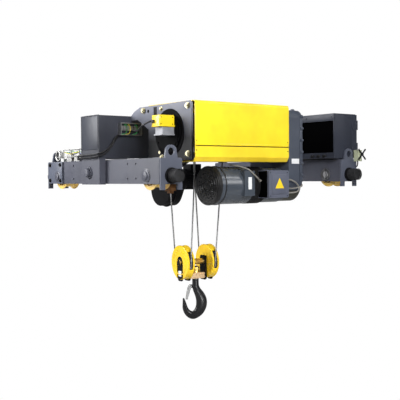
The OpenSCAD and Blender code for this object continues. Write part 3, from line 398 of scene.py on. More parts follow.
def build_materials():
    yellow = (0.86, 0.62, 0.014)
    bare = (0.35, 0.27, 0.1)
    return {
        "frame_paint": paint("frame_paint", (0.066, 0.069, 0.090), 0.38),
        "box_paint": paint("box_paint", (0.04, 0.043, 0.056), 0.34, grain=1500.0, depth=0.0001, wear=0.2),
        "plate_paint": paint("plate_paint", (0.085, 0.094, 0.125), 0.38),
        # The hoist side plates' slate, with painted light and shade up its height
        "hoist_frame_paint": slate_with_painted_light("hoist_frame_paint", (0.044, 0.046, 0.056)),
        "yellow_paint": paint("yellow_paint", yellow, 0.34, coat=0.2, wear=0.12, bare=bare, dust=0.02),
        "lower_yellow": paint("lower_yellow", (0.86, 0.61, 0.02), 0.36, coat=0.2, wear=0.12, bare=bare, dust=0.03),
        "block_yellow": paint("block_yellow", (0.84, 0.55, 0.014), 0.34, coat=0.3, wear=0.25,
                              bare=(0.3, 0.22, 0.08), dust=0.03, round_edge=0.002),
        "black_paint": paint("black_paint", (0.0035, 0.0035, 0.0045), 0.5, wear=0.08, bare=(0.06, 0.06, 0.065), dust=0.0,
                             gloss=0.1),
        "drum_black": paint("drum_black", (0.002, 0.002, 0.0025), 0.6, wear=0.04, bare=(0.03, 0.03, 0.03), dust=0.0,
                            gloss=0.03),
        # Near-black for painted shade on surfaces deep in shadow
        "shade_black": paint("shade_black", (0.0012, 0.0012, 0.0014), 0.8, wear=0.0, dust=0.0, gloss=0.0),
        "cabinet_paint": paint("cabinet_paint", (0.028, 0.032, 0.046), 0.45, grain=1500.0, depth=0.0001, wear=0.15),
        "motor_paint": paint("motor_paint", (0.05, 0.06, 0.076), 0.22, wear=0.08, round_edge=0.001, gloss=0.7),
        "terminal_paint": paint("terminal_paint", (0.09, 0.098, 0.132), 0.4, wear=0.12),
        "fan_cover_sheet": fan_cover_sheet("fan_cover_sheet"),
        "fan_plastic": plastic("fan_plastic", (0.009, 0.009, 0.010), 0.4),
        "gearbox_paint": two_tone_case("gearbox_paint"),
        "buffer_rubber": rubber("buffer_rubber", (0.012, 0.012, 0.013)),
        "lead_grey": plastic("lead_grey", (0.2, 0.19, 0.17), 0.4),
        "cable_rubber": rubber("cable_rubber", (0.01, 0.01, 0.011), 0.5),
        "bearing_steel": steel("bearing_steel", (0.2, 0.2, 0.21), 0.34),
        "wheel_paint": wheel_paint("wheel_paint"),
        "shaft_steel": steel("shaft_steel", (0.45, 0.45, 0.46), 0.28, brush=(0.1, 1, 1)),
        "rod_zinc": steel("rod_zinc", (0.36, 0.33, 0.22), 0.35),
        "drum_steel": steel("drum_steel", (0.2, 0.205, 0.215), 0.4, wear=0.2),
        "rope_steel": steel("rope_steel", (0.3, 0.3, 0.305), 0.42, wear=0.15, round_edge=0.0),
        "gear_steel": steel("gear_steel", (0.33, 0.33, 0.35), 0.3),
        "switch_grey": cast("switch_grey", (0.26, 0.265, 0.29), 0.45, metal=0.1),
        "guide_nylon": plastic("guide_nylon", (0.02, 0.02, 0.024)),
        "sheave_iron": cast("sheave_iron", (0.1, 0.1, 0.105), 0.45),
        "anchor_iron": cast("anchor_iron", (0.16, 0.07, 0.02), 0.55, metal=0.2),
        "axle_brass": steel("axle_brass", (0.86, 0.58, 0.18), 0.3, brush=(0.1, 1, 1)),
        "crosshead_bronze": steel("crosshead_bronze", (0.98, 0.66, 0.4), 0.42),
        "nut_steel": steel("nut_steel", (0.12, 0.12, 0.125), 0.35),
        "hook_black": paint("hook_black", (0.009, 0.009, 0.01), 0.26, grain=260.0, depth=0.00022, wear=0.45,
                            bare=(0.3, 0.3, 0.3), round_edge=0.0),
        "latch_zinc": steel("latch_zinc", (0.62, 0.62, 0.62), 0.25, brush=(1, 1, 0.1)),
        "contactor_plastic": plastic("contactor_plastic", (0.04, 0.04, 0.045)),
        "switch_housing": plastic("switch_housing", (0.45, 0.48, 0.33), 0.4),
        "lever_black": plastic("lever_black", (0.012, 0.012, 0.013)),
        "bracket_zinc": steel("bracket_zinc", (0.45, 0.45, 0.44), 0.35),
        "label_silver": steel("label_silver", (0.7, 0.7, 0.7), 0.3, brush=(1, 1, 0.1)),
        "label_white": plastic("label_white", (0.72, 0.73, 0.74), 0.35),
        "label_yellow": plastic("label_yellow", (0.85, 0.6, 0.02), 0.35),
        "wire_green": plastic("wire_green", (0.05, 0.35, 0.09), 0.4),
        "wire_yellow": plastic("wire_yellow", (0.75, 0.62, 0.03), 0.4),
        "wire_blue": plastic("wire_blue", (0.03, 0.1, 0.4), 0.4),
        "box_white": plastic("box_white", (0.62, 0.63, 0.62), 0.45),
    }


CAD_LOOKS = {
    "frame_paint": ["left_carriage_beam", "right_carriage_beam", "hangers", "pivot_pins"],
    "box_paint": ["cross_beam"],
    "plate_paint": ["end_plates"],
    "hoist_frame_paint": ["hoist_side_plates"],
    "buffer_rubber": ["buffers"],
    "bearing_steel": ["bearings"],
    "wheel_paint": ["front_left_wheel", "front_right_wheel", "rear_left_wheel", "rear_right_wheel"],
    "shaft_steel": ["front_left_axle", "front_right_axle", "drive_shaft", "drum_shaft"],
    "rod_zinc": ["tie_rods"],
    "yellow_paint": ["upper_cover", "limit_switch_cover"],
    "lower_yellow": ["lower_cover"],
    "block_yellow": ["block_covers"],
    "drum_steel": ["drum"],
    "rope_steel": ["drum_rope", "rope_fall_1", "rope_fall_2", "rope_fall_3", "rope_fall_4"],
    "drum_black": ["drum_end_cover"],
    "black_paint": ["travel_gearbox", "travel_motor", "return_sheave_bracket", "block_cheeks"],
    "terminal_paint": ["terminal_box"],
    "switch_grey": ["limit_switch_body"],
    "guide_nylon": ["rope_guide"],
    "gearbox_paint": ["gearbox_case", "gearbox_lid"],
    "gear_steel": ["output_gear", "intermediate_gears", "motor_rotor"],
    "motor_paint": ["motor_housing"],
    "fan_cover_sheet": ["fan_cover"],
    "sheave_iron": ["return_sheave", "left_sheave", "right_sheave"],
    "anchor_iron": ["rope_anchor"],
    "axle_brass": ["block_axle", "hook_nut"],
    "crosshead_bronze": ["crosshead"],
    "hook_black": ["hook"],
    "latch_zinc": ["latch"],
    "cabinet_paint": ["cabinet", "cabinet_door"],
    "contactor_plastic": ["contactors"],
    "switch_housing": ["travel_limit_switch"],
    "lever_black": ["switch_lever"],
    "bracket_zinc": ["wiring_bracket", "cable_rack"],
    "cable_rubber": ["held_cables"],
}


def dress_cad_nodes(looks):
    for look, names in CAD_LOOKS.items():
        for name in names:
            piece = NODES[name]
            if not piece.material_slots:
                piece.data.materials.append(looks[look])
            for slot in piece.material_slots:
                slot.material = looks[look]


# ---------- Mesh pieces ----------

class Piece:
    """Collects shapes into one mesh, then makes it an object that rides on a body."""

    def __init__(self, name):
        self.name = name
        self.bm = bmesh.new()

    def box(self, low, high, bevel=0.001, turn=None, about=(0, 0, 0), segments=2):
        low, high = Vector(low), Vector(high)
        made = bmesh.ops.create_cube(self.bm, size=1.0)["verts"]
        size = high - low
        bmesh.ops.scale(self.bm, vec=size, verts=made)
        bmesh.ops.translate(self.bm, vec=(low + high) / 2, verts=made)
        edges = list({e for v in made for e in v.link_edges})
        if bevel:
            out = bmesh.ops.bevel(self.bm, geom=edges, offset=min(bevel, min(size) * 0.45), segments=segments,
                                  affect="EDGES", profile=0.5)
            made = list({v for f in out["faces"] for v in f.verts} | {v for v in made if v.is_valid})
        if turn:
            bmesh.ops.rotate(self.bm, cent=about, matrix=turn, verts=made)
        return self

    def lathe(self, profile, at, axis=(0, 0, 1), sides=48, closed=True):
        """Turns (radius, height) points round an axis through a point."""
        basis = Vector(axis).normalized().to_track_quat("Z", "Y").to_matrix()
        at = Vector(at)
        rings = []
        for radius, height in profile:
            ring = []
            for k in range(sides):
                a = 2 * math.pi * k / sides
                local = Vector((radius * math.cos(a), radius * math.sin(a), height))
                ring.append(self.bm.verts.new(at + basis @ local))
            rings.append(ring)
        for low, high in zip(rings, rings[1:]):
            for k in range(sides):
                self.bm.faces.new((low[k], low[(k + 1) % sides], high[(k + 1) % sides], high[k]))
        if closed:
            self.bm.faces.new(list(reversed(rings[0])))
            self.bm.faces.new(rings[-1])
        return self

    def disc(self, at, axis, radius, height, bevel=0.001, sides=40):
        b = min(bevel, height * 0.45, radius * 0.45)
        return self.lathe([(radius, 0), (radius, height - b), (radius - b * 0.3, height - b * 0.3),
                           (radius - b, height)], at, axis, sides)

    def bolt(self, at, axis, radius=0.008, height=0.006, washer=True, spin=0.0):
        """Hexagon head on a washer."""
        axis = Vector(axis).normalized()
        at = Vector(at)
        if washer:
            self.disc(at, axis, radius * 1.45, radius * 0.22, 0.0003, 24)
            at = at + axis * radius * 0.22
        basis = axis.to_track_quat("Z", "Y").to_matrix()
        rings = []
        for share, z in ((1.0, 0.0), (1.0, height * 0.85), (0.86, height)):
            ring = []
            for k in range(6):
                a = spin + math.pi * k / 3
                ring.append(self.bm.verts.new(at + basis @ Vector((radius * share * math.cos(a),
                                                                    radius * share * math.sin(a), z))))
            rings.append(ring)
        for low, high in zip(rings, rings[1:]):
            for k in range(6):
                self.bm.faces.new((low[k], low[(k + 1) % 6], high[(k + 1) % 6], high[k]))
        self.bm.faces.new(list(reversed(rings[0])))
        self.bm.faces.new(rings[-1])
        return self

    def tube(self, points, radius, sides=12, smooth=4):
        """Round tube through points, on a smooth curve."""
        path = curve_through([Vector(p) for p in points], smooth)
        rings = []
        for centre, basis in frames_along(path):
            ring = []
            for k in range(sides):
                a = 2 * math.pi * k / sides
                ring.append(self.bm.verts.new(centre + basis @ Vector((radius * math.cos(a),
                                                                        radius * math.sin(a), 0))))
            rings.append(ring)
        for low, high in zip(rings, rings[1:]):
            for k in range(sides):
                self.bm.faces.new((low[k], low[(k + 1) % sides], high[(k + 1) % sides], high[k]))
        self.bm.faces.new(list(reversed(rings[0])))
        self.bm.faces.new(rings[-1])
        return self

    def done(self, look, body, sharp=35.0):
        bmesh.ops.recalc_face_normals(self.bm, faces=self.bm.faces)
        mesh = bpy.data.meshes.new(self.name)
        self.bm.to_mesh(mesh)
        self.bm.free()
        for face in mesh.polygons:
            face.use_smooth = True
        mesh.set_sharp_from_angle(angle=math.radians(sharp))
        mesh.materials.append(look)
        piece = bpy.data.objects.new(self.name, mesh)
        bpy.context.collection.objects.link(piece)
        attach(piece, body)
        return piece


def curve_through(points, steps):
    """Catmull-Rom curve through the points."""
    if steps < 2 or len(points) < 3:
        return points
    path = []
    for i in range(len(points) - 1):
        p0 = points[max(i - 1, 0)]
        p1, p2 = points[i], points[i + 1]
        p3 = points[min(i + 2, len(points) - 1)]
        for k in range(steps):
            t = k / steps
            path.append(0.5 * ((2 * p1) + (p2 - p0) * t + (2 * p0 - 5 * p1 + 4 * p2 - p3) * t * t
                               + (3 * p1 - p0 - 3 * p2 + p3) * t ** 3))
    return path + [points[-1]]


def frames_along(path):
    """Each point with a basis whose Z runs along the path, carried without twist."""
    out = []
    side = None
    for i, centre in enumerate(path):
        ahead = (path[min(i + 1, len(path) - 1)] - path[max(i - 1, 0)]).normalized()
        if side is None:
            side = ahead.orthogonal().normalized()
        side = (side - ahead * side.dot(ahead)).normalized()
        other = ahead.cross(side)
        out.append((centre, Matrix((side, other, ahead)).transposed()))
    return out


# ---------- Rope ----------

ROPE_R = 4.5 * MM
ROPE_LAY = 62 * MM
ROPE_STRANDS = 6


def rope_mesh(name, path, look, body):
    """Wire rope: a lobed section, one lobe to a strand, twisted along its path."""
    piece = Piece(name)
    sides = ROPE_STRANDS * 6
    travelled = 0.0
    rings = []
    last = path[0]
    for centre, basis in frames_along(path):
        travelled += (centre - last).length
        last = centre
        twist = 2 * math.pi * travelled / ROPE_LAY
        ring = []
        for k in range(sides):
            a = 2 * math.pi * k / sides
            lobe = abs(math.sin(ROPE_STRANDS * a / 2))
            radius = ROPE_R * (0.74 + 0.26 * math.sqrt(lobe))
            ring.append(piece.bm.verts.new(centre + basis @ Vector((radius * math.cos(a + twist),
                                                                     radius * math.sin(a + twist), 0))))
        rings.append(ring)
    for low, high in zip(rings, rings[1:]):
        for k in range(sides):
            piece.bm.faces.new((low[k], low[(k + 1) % sides], high[(k + 1) % sides], high[k]))
    piece.bm.faces.new(list(reversed(rings[0])))
    piece.bm.faces.new(rings[-1])
    return piece.done(look, body, sharp=80.0)


def straight(a, b, step=3.5 * MM):
    n = max(2, int((b - a).length / step))
    return [a.lerp(b, i / n) for i in range(n + 1)]


def joint_named(name):
    return next(j for j in frame["record"]["behaviour"]["joints"] if j["name"] == name)


def fall_ends(i):
    """Lower and upper end of a fall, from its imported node's box and lean."""
    low, high = (Vector(v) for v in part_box(f"rope_fall_{i}"))
    mesh = NODES[f"rope_fall_{i}"].data
    bottom = [v.co for v in mesh.vertices if v.co.z < low.z + 2 * MM]
    top = [v.co for v in mesh.vertices if v.co.z > high.z - 2 * MM]
    return sum(bottom, Vector()) / len(bottom), sum(top, Vector()) / len(top)


BLOCK_AXIS = Vector(joint_named("right_sheave_spin")["axis"])
BLOCK_AT = Vector(joint_named("right_sheave_spin")["pos_m"])
RETURN_AXIS = Vector(joint_named("return_sheave_spin")["axis"])
RETURN_AT = Vector(joint_named("return_sheave_spin")["pos_m"])


def half_turn(centre, axis, start, steps=40):
    """Points of a half circle about an axis, from one side to the other."""
    arm = start - centre
    return [centre + Matrix.Rotation(math.pi * i / steps, 3, axis) @ arm for i in range(steps + 1)]


def make_ropes(looks):
    ends = {i: fall_ends(i) for i in range(1, 5)}
    for i, (low, high) in ends.items():
        piece = rope_mesh(f"rope_{i}", straight(low, high), looks["rope_steel"], "frame")
        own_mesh(piece)
        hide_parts(f"rope_fall_{i}")
    for name, first, second in (("right", 1, 2), ("left", 3, 4)):
        a, b = ends[first][0], ends[second][0]
        centre = (a + b) / 2
        path = half_turn(centre, BLOCK_AXIS, a)
        if path[len(path) // 2].z > centre.z:
            path = half_turn(centre, -BLOCK_AXIS, a)
        rope_mesh(f"rope_under_{name}_sheave", path, looks["rope_steel"], "hook_block")
    a, b = ends[2][1], ends[3][1]
    centre = (a + b) / 2
    path = half_turn(centre, RETURN_AXIS, a)
    if path[len(path) // 2].z < centre.z:
        path = half_turn(centre, -RETURN_AXIS, a)
    rope_mesh("rope_over_return_sheave", path, looks["rope_steel"], "frame")


# ---------- Hook ----------

HOOK_TURN = math.radians(-38)
# Centre line, half width and half depth at each station, in the hook's plane (mm)
HOOK_LINE = [(0, -560, 20, 20), (0, -592, 20, 20), (1, -610, 21, 20), (8, -630, 23, 20), (20, -652, 27, 20),
             (31, -676, 31, 20), (36, -702, 33, 20), (33, -730, 32, 20), (21, -757, 29, 20), (2, -776, 26, 20),
             (-18, -784, 25, 19), (-38, -778, 22, 18), (-54, -762, 19, 16), (-64, -740, 16, 14), (-68, -716, 12, 11),
             (-71, -697, 8, 8), (-74, -681, 5, 5)]
HOOK_SIDES = 32
LATCH_LEAN = 16


def hook_point(h, depth, z):
    """A point of the hook's plane in the object's frame."""
    across = Vector((math.cos(HOOK_TURN), math.sin(HOOK_TURN), 0))
    out = Vector((-math.sin(HOOK_TURN), math.cos(HOOK_TURN), 0))
    return Vector((BLOCK_AT.x, BLOCK_AT.y, 0)) + across * h + out * depth + Vector((0, 0, z))


def make_hook(looks):
    piece = Piece("forged_hook")
    stations = curve_through([Vector((h, z, w)) for h, z, w, d in HOOK_LINE], 6)
    depths = curve_through([Vector((d, 0, 0)) for h, z, w, d in HOOK_LINE], 6)
    rings = []
    count = len(stations)
    for i, (s, d) in enumerate(zip(stations, depths)):
        ahead = stations[min(i + 1, count - 1)] - stations[max(i - 1, 0)]
        heading = Vector((ahead.x, ahead.y)).normalized()
        side = Vector((heading.y, -heading.x))
        bowl = min(1.0, max(0.0, (-0.62 - s.y * MM) / 0.03))
        ring = []
        for k in range(HOOK_SIDES):
            a = 2 * math.pi * k / HOOK_SIDES
            wide = math.cos(a)
            # The bowl is wider inside than at its back, as on a forged crane hook
            flare = 1.0 + bowl * 0.22 * wide
            h = s.x + side.x * wide * s.z
            z = s.y + side.y * wide * s.z
            ring.append(piece.bm.verts.new(hook_point(h * MM, d.x * flare * math.sin(a) * MM, z * MM)))
        rings.append(ring)
    for low, high in zip(rings, rings[1:]):
        for k in range(HOOK_SIDES):
            piece.bm.faces.new((low[k], low[(k + 1) % HOOK_SIDES], high[(k + 1) % HOOK_SIDES], high[k]))
    piece.bm.faces.new(list(reversed(rings[0])))
    piece.bm.faces.new(rings[-1])
    axis_at = Vector((BLOCK_AT.x, BLOCK_AT.y, -0.562))
    piece.lathe([(20 * MM, -0.004), (20 * MM, 0.0), (17 * MM, 0.003), (17 * MM, 0.076), (15 * MM, 0.078)], axis_at)
    hook = piece.done(looks["hook_black"], "hook", sharp=60.0)
    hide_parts("hook")
    ears = Piece("latch_ears")
    for side in (-6.2, 2.2):
        low, high = Vector((-37.5, side, -618)), Vector((-14, side + 4, -598))
        ears.box((low.x * MM, low.y * MM, low.z * MM), (high.x * MM, high.y * MM, high.z * MM), 0.003,
                 Matrix.Rotation(HOOK_TURN, 3, "Z"), (0, 0, 0))
    bmesh.ops.translate(ears.bm, vec=(BLOCK_AT.x, BLOCK_AT.y, 0), verts=ears.bm.verts)
    ears.done(looks["hook_black"], "hook")


def latch_cheeks(looks):
    """The tongue's broad tapering sides, drawn in the hook's plane about its pin."""
    joint = joint_named("latch_swing")
    pin, axis = Vector(joint["pos_m"]), Vector(joint["axis"]).normalized()
    across = Vector((math.cos(HOOK_TURN), math.sin(HOOK_TURN), 0))
    outline = [(6, 6), (-10, 6), (-16, -8), (-15, -40), (-9, -84), (-5, -84), (3, -30), (7, -8)]
    lean = math.radians(LATCH_LEAN)
    cheeks = Piece("latch_cheeks")
    for low, high in ((-12, -9.5), (9.5, 12)):
        rings = []
        for depth in (low, high):
            ring = []
            for h, z in outline:
                side, drop = h * math.cos(lean) + z * math.sin(lean), z * math.cos(lean) - h * math.sin(lean)
                ring.append(cheeks.bm.verts.new(pin + (across * side + axis * depth + Vector((0, 0, drop))) * MM))
            rings.append(ring)
        count = len(outline)
        cheeks.bm.faces.new(rings[0])
        cheeks.bm.faces.new(list(reversed(rings[1])))
        for k in range(count):
            cheeks.bm.faces.new((rings[0][(k + 1) % count], rings[0][k], rings[1][k], rings[1][(k + 1) % count]))
    bmesh.ops.recalc_face_normals(cheeks.bm, faces=cheeks.bm.faces)
    cheeks.done(looks["latch_zinc"], "latch")


# ---------- Fittings ----------

def corner(name, high=(1, 1, 1)):
    """A corner of a node's box, low (0) or high (1) along each axis."""
    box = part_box(name)
    return Vector([box[h][i] for i, h in enumerate(high)])


def cover_details(looks):
    """Lips, rolled ends, vents and a painted shadow strip under the seam lip on the yellow drum covers."""
    low, high = (Vector(v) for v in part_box("upper_cover"))
    front, seam, top = low.y, low.z, high.z
    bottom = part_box("lower_cover")[0][2]
    lip = Piece("cover_seam_lip")
    lip.box((low.x + 0.004, front - 0.0035, seam - 0.001), (high.x - 0.004, front + 0.001, seam + 0.011), 0.0014)
    for x in (low.x, high.x - 0.006):
        lip.box((x, front - 0.0022, seam + 0.014), (x + 0.006, front + 0.001, top - 0.016), 0.001)
    lip.done(looks["yellow_paint"], "frame")
    # A black strip just under the seam lip: the dark joint between the covers, and the lip's painted shadow
    shadow = Piece("cover_seam_painted_shadow")
    shadow.box((low.x + 0.003, front - 0.0012, seam - 0.0055), (high.x - 0.003, front + 0.001, seam - 0.001), 0.0003)
    shadow.done(looks["black_paint"], "frame")
    vents = Piece("cover_vents")
    for z in (seam + 0.022, seam - 0.03):
        for x in (low.x + 0.004, high.x - 0.012):
            vents.box((x, front - 0.0012, z), (x + 0.008, front + 0.001, z + 0.005), 0.0003)
    vents.done(looks["black_paint"], "frame")
    hem = Piece("cover_hem")
    hem.box((low.x, -0.561, bottom), (high.x, -0.557, bottom + 0.016), 0.001)
    hem.box((low.x, high.y - 0.004, high.z - 0.062), (high.x, high.y - 0.001, high.z - 0.05), 0.001)
    hem.done(looks["lower_yellow"], "frame")


def carriage_details(looks):
    """Rear end caps, bearing caps, weld beads and a label on the two carriages."""
    for side, name in ((-1, "left"), (1, "right")):
        low, high = (Vector(v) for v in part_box(f"{name}_carriage_beam"))
        out = low.x if side < 0 else high.x
        inn = high.x if side < 0 else low.x
        plates = Piece(f"{name}_rear_cap")
        for y0, y1 in ((high.y - 0.200, high.y - 0.004),):
            x0, x1 = sorted((out, out + side * 0.006))
            plates.box((x0, y0, low.z + 0.001), (x1, y1, high.z - 0.001), 0.0015)
            x0, x1 = sorted((out + side * 0.005, out + side * 0.012))
            plates.box((x0, y0 + 0.002, low.z + 0.004), (x1, y0 + 0.012, high.z - 0.004), 0.001)
        plates.done(looks["plate_paint"], "frame")
        bolts = Piece(f"{name}_carriage_bolts")
        for y in (high.y - 0.03, high.y - 0.165):
            for z in (low.z + 0.02, high.z - 0.02):
                bolts.bolt((out + side * 0.006, y, z), (side, 0, 0), 0.009, 0.007)
        bolts.done(looks["black_paint"], "frame")
        caps = Piece(f"{name}_bearing_caps")
        for y in (-0.5, 0.5):
            caps.lathe([(0.037, 0.0), (0.037, 0.003), (0.034, 0.005), (0.024, 0.0055), (0.0225, 0.0115),
                        (0.019, 0.013), (0.004, 0.013), (0.003, 0.011)], (out + side * 0.0015, y, 0.063),
                       (side, 0, 0), 48)
        caps.done(looks["frame_paint"], "frame")
        welds = Piece(f"{name}_carriage_welds")
        for z in (low.z, high.z):
            for x in (low.x + 0.003, high.x - 0.003):
                bead(welds, (x, low.y, z), (x, low.y + 0.06, z), 0.0022)
        for y in (low.y, high.y):
            for x in (low.x, high.x):
                bead(welds, (x, y, low.z), (x, y, high.z - 0.008), 0.0028)
        welds.done(looks["frame_paint"], "frame")
        seats = Piece(f"{name}_buffer_seats")
        for y, d in ((low.y - 0.012, -1), (high.y + 0.012, 1)):
            seats.disc((side * 0.7, y, 0.063), (0, d, 0), 0.044, 0.006, 0.0015, 48)
        seats.done(looks["black_paint"], "frame")
        rings = Piece(f"{name}_buffer_rings")
        for y, d in ((low.y - 0.022, -1), (high.y + 0.022, 1)):
            for k in range(4):
                rings.lathe([(0.0348, 0), (0.0366, 0.0018), (0.0366, 0.0072), (0.0348, 0.009)],
                            (side * 0.7, y + d * (0.008 + 0.0165 * k), 0.063), (0, d, 0), 48, closed=False)
        rings.done(looks["buffer_rubber"], "frame")
    tag = Piece("carriage_label")
    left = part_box("left_carriage_beam")
    tag.box((left[0][0] + 0.008, -0.40, left[1][2]), (left[0][0] + 0.03, -0.30, left[1][2] + 0.0015), 0.0004)
    tag.done(looks["label_white"], "frame")


def bead(piece, a, b, radius):
    """A weld bead: a rod with small ripples along it."""
    a, b = Vector(a), Vector(b)
    n = max(8, int((b - a).length / 0.003))
    points = [a.lerp(b, i / n) for i in range(n + 1)]
    rings = []
    for i, (centre, basis) in enumerate(frames_along(points)):
        r = radius * (1.0 + 0.16 * math.sin(i * 2.2) + random.uniform(-0.05, 0.05))
        rings.append([piece.bm.verts.new(centre + basis @ Vector((r * math.cos(t), r * math.sin(t), 0)))
                      for t in (math.pi * k / 4 for k in range(8))])
    for low, high in zip(rings, rings[1:]):
        for k in range(8):
            piece.bm.faces.new((low[k], low[(k + 1) % 8], high[(k + 1) % 8], high[k]))
    piece.bm.faces.new(list(reversed(rings[0])))
    piece.bm.faces.new(rings[-1])


def cross_beam_details(looks):
    low, high = (Vector(v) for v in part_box("cross_beam"))
    welds = Piece("cross_beam_welds")
    for x in (low.x, high.x):
        for y in (low.y, high.y):
            bead(welds, (x, y, low.z), (x, y, high.z), 0.003)
        for z in (low.z, high.z):
            bead(welds, (x, low.y, z), (x, high.y, z), 0.003)
    for s in (-1, 1):
        x = s * 0.774
        bead(welds, (x, low.y + 0.002, low.z - 0.001), (x, high.y - 0.002, low.z - 0.001), 0.0028)
    welds.done(looks["box_paint"], "frame")
    plates = Piece("cross_beam_end_plates")
    for x0, x1 in ((low.x - 0.004, low.x), (high.x, high.x + 0.004)):
        plates.box((x0, low.y + 0.006, low.z + 0.052), (x1, high.y - 0.006, high.z - 0.006), 0.0015)
    plates.done(looks["cabinet_paint"], "frame")
    caps = Piece("pivot_caps")
    for s in (-1, 1):
        caps.lathe([(0.027, 0.0), (0.027, 0.006), (0.023, 0.010), (0.006, 0.012)], (s * 0.826, 0.039, 0.085), (s, 0, 0), 48)
    caps.done(looks["frame_paint"], "frame")


def motor_details(looks):
    """End rims, screws, lid, glands, labels and leads of the hoist motor."""
    low, high = (Vector(v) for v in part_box("fan_cover"))
    centre = Vector((0, (low.y + high.y) / 2, (low.z + high.z) / 2))
    radius = (high.z - low.z) / 2
    rim = Piece("fan_cover_rims")
    for x in (low.x + 0.001, high.x - 0.011):
        rim.lathe([(radius - 0.0005, 0), (radius + 0.0015, 0.002), (radius + 0.0015, 0.008), (radius - 0.0005, 0.010)],
                  (x, centre.y, centre.z), (1, 0, 0), 72, closed=False)
    for ring in (0.024, 0.044, 0.064, 0.084, 0.1):
        rim.lathe([(ring, 0.0), (ring + 0.0012, 0.002), (ring + 0.0034, 0.002), (ring + 0.0046, 0.0)],
                  (low.x, centre.y, centre.z), (-1, 0, 0), 72, closed=False)
    rim.disc((low.x, centre.y, centre.z), (-1, 0, 0), 0.018, 0.003, 0.0015)
    rim.done(looks["fan_plastic"], "frame")
    screws = Piece("motor_screws")
    for k in range(4):
        a = math.pi / 4 + math.pi * k / 2
        out = Vector((0, math.cos(a), math.sin(a)))
        screws.disc(Vector((high.x - 0.02, centre.y, centre.z)) + out * (radius - 0.0005), out, 0.005, 0.003, 0.001, 16)
    box_low, box_high = (Vector(v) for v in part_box("terminal_box"))
    for x in (box_low.x + 0.012, box_high.x - 0.012):
        for z in (box_low.z + 0.012, box_high.z - 0.012):
            screws.disc((x, box_low.y, z), (0, -1, 0), 0.004, 0.002, 0.001, 16)
    screws.done(looks["cabinet_paint"], "frame")
    lid = Piece("terminal_box_lid")
    lid.box((box_low.x + 0.022, box_low.y - 0.003, box_low.z + 0.022),
            (box_high.x - 0.022, box_low.y + 0.002, box_high.z - 0.022), 0.002, segments=3)
    lid.done(looks["terminal_paint"], "frame")
    band = Piece("motor_neck_fins")
    for k in range(10):
        x = -0.134 + 0.0105 * k
        band.lathe([(0.1035, 0), (0.1085, 0.001), (0.1085, 0.004), (0.1035, 0.005)], (x, centre.y, centre.z), (1, 0, 0), 72)
    band.lathe([(0.1035, 0), (0.1052, 0.0005), (0.1052, 0.1035), (0.1035, 0.104)], (-0.1375, centre.y, centre.z), (1, 0, 0), 72)
    band.done(looks["fan_plastic"], "frame")
    # Painted shade: a near-black sheet on the terminal box's side facing the motor, where the gap between them is in
    # shade
    side_shade = Piece("terminal_box_side_painted_shade")
    side_shade.box((box_low.x - 0.0015, box_low.y + 0.014, box_low.z + 0.004),
               (box_low.x + 0.001, box_high.y - 0.004, box_high.z - 0.004), 0.0005)
    side_shade.done(looks["shade_black"], "frame")
    mid_x = (box_low.x + box_high.x) / 2 + 0.002
    mid_z = (box_low.z + box_high.z) / 2
    sign = Piece("motor_sign")
    tri = [(0.0, 0.036), (0.034, -0.024), (-0.034, -0.024)]
    ring = [sign.bm.verts.new((mid_x + x, box_low.y - 0.0036, mid_z + z)) for x, z in tri]
    back = [sign.bm.verts.new((mid_x + x, box_low.y - 0.0026, mid_z + z)) for x, z in tri]
    sign.bm.faces.new(ring)
    sign.bm.faces.new(list(reversed(back)))
    for k in range(3):
        sign.bm.faces.new((ring[k], ring[(k + 1) % 3], back[(k + 1) % 3], back[k]))
    sign.done(looks["label_yellow"], "frame")
    tag = Piece("motor_rating_tag")
    pad_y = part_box("motor_housing")[0][1]
    tag.box((-0.191, pad_y - 0.0012, centre.z - 0.023), (-0.165, pad_y + 0.0005, centre.z + 0.046), 0.0004)
    tag.done(looks["label_white"], "frame")
    lead = Piece("motor_leads")
    lead.tube([(-0.27, -0.60, 0.122), (-0.225, -0.64, 0.112), (-0.185, -0.672, 0.094), (-0.155, -0.684, 0.066),
               (-0.128, -0.686, 0.045), (-0.112, -0.678, 0.034), (-0.098, -0.668, 0.03)], 0.0042)
    lead.lathe([(0.0085, 0), (0.0085, 0.008), (0.0065, 0.010), (0.0065, 0.016)], (box_low.x - 0.016, -0.668, 0.03),
               (1, 0, 0), 24)
    lead.done(looks["lead_grey"], "frame")


def gearbox_details(looks):
    """Split flange, plate, lid screws, plug and leads on the gearbox."""
    low, high = (Vector(v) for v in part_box("gearbox_case"))
    front = low.y
    flange = Piece("gearbox_split_flange")
    flange.box((high.x - 0.006, front - 0.004, 0.02), (high.x + 0.018, front + 0.004, 0.42), 0.002)
    flange.done(looks["gearbox_paint"], "frame")
    tag = Piece("gearbox_plate")
    tag.box((low.x + 0.024, front - 0.0016, 0.128), (low.x + 0.086, front + 0.0005, 0.158), 0.0005)
    tag.done(looks["label_white"], "frame")
    plugs = Piece("gearbox_plugs")
    plugs.bolt((low.x + 0.05, -0.5, high.z), (0, 0, 1), 0.014, 0.02)
    lid_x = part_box("gearbox_lid")[1][0]
    for k in range(8):
        a = math.pi * k / 4
        plugs.bolt((lid_x - 0.006, -0.469 + 0.055 * math.cos(a), 0.301 + 0.055 * math.sin(a)), (1, 0, 0), 0.006, 0.005)
    plugs.done(looks["black_paint"], "frame")
    pipe = Piece("gearbox_leads")
    pipe.tube([(low.x - 0.02, front - 0.012, 0.035), (low.x + 0.01, front - 0.016, 0.03), (low.x + 0.05, front - 0.016, 0.01),
               (low.x + 0.07, front - 0.014, -0.02), (low.x + 0.05, front - 0.012, -0.04),
               (low.x + 0.0, front + 0.01, -0.045)], 0.0045)
    pipe.tube([(low.x - 0.03, front + 0.01, -0.012), (low.x + 0.02, front - 0.012, -0.018),
               (low.x + 0.09, front - 0.013, -0.008), (high.x + 0.01, front - 0.004, 0.004)], 0.004)
    pipe.done(looks["lead_grey"], "frame")


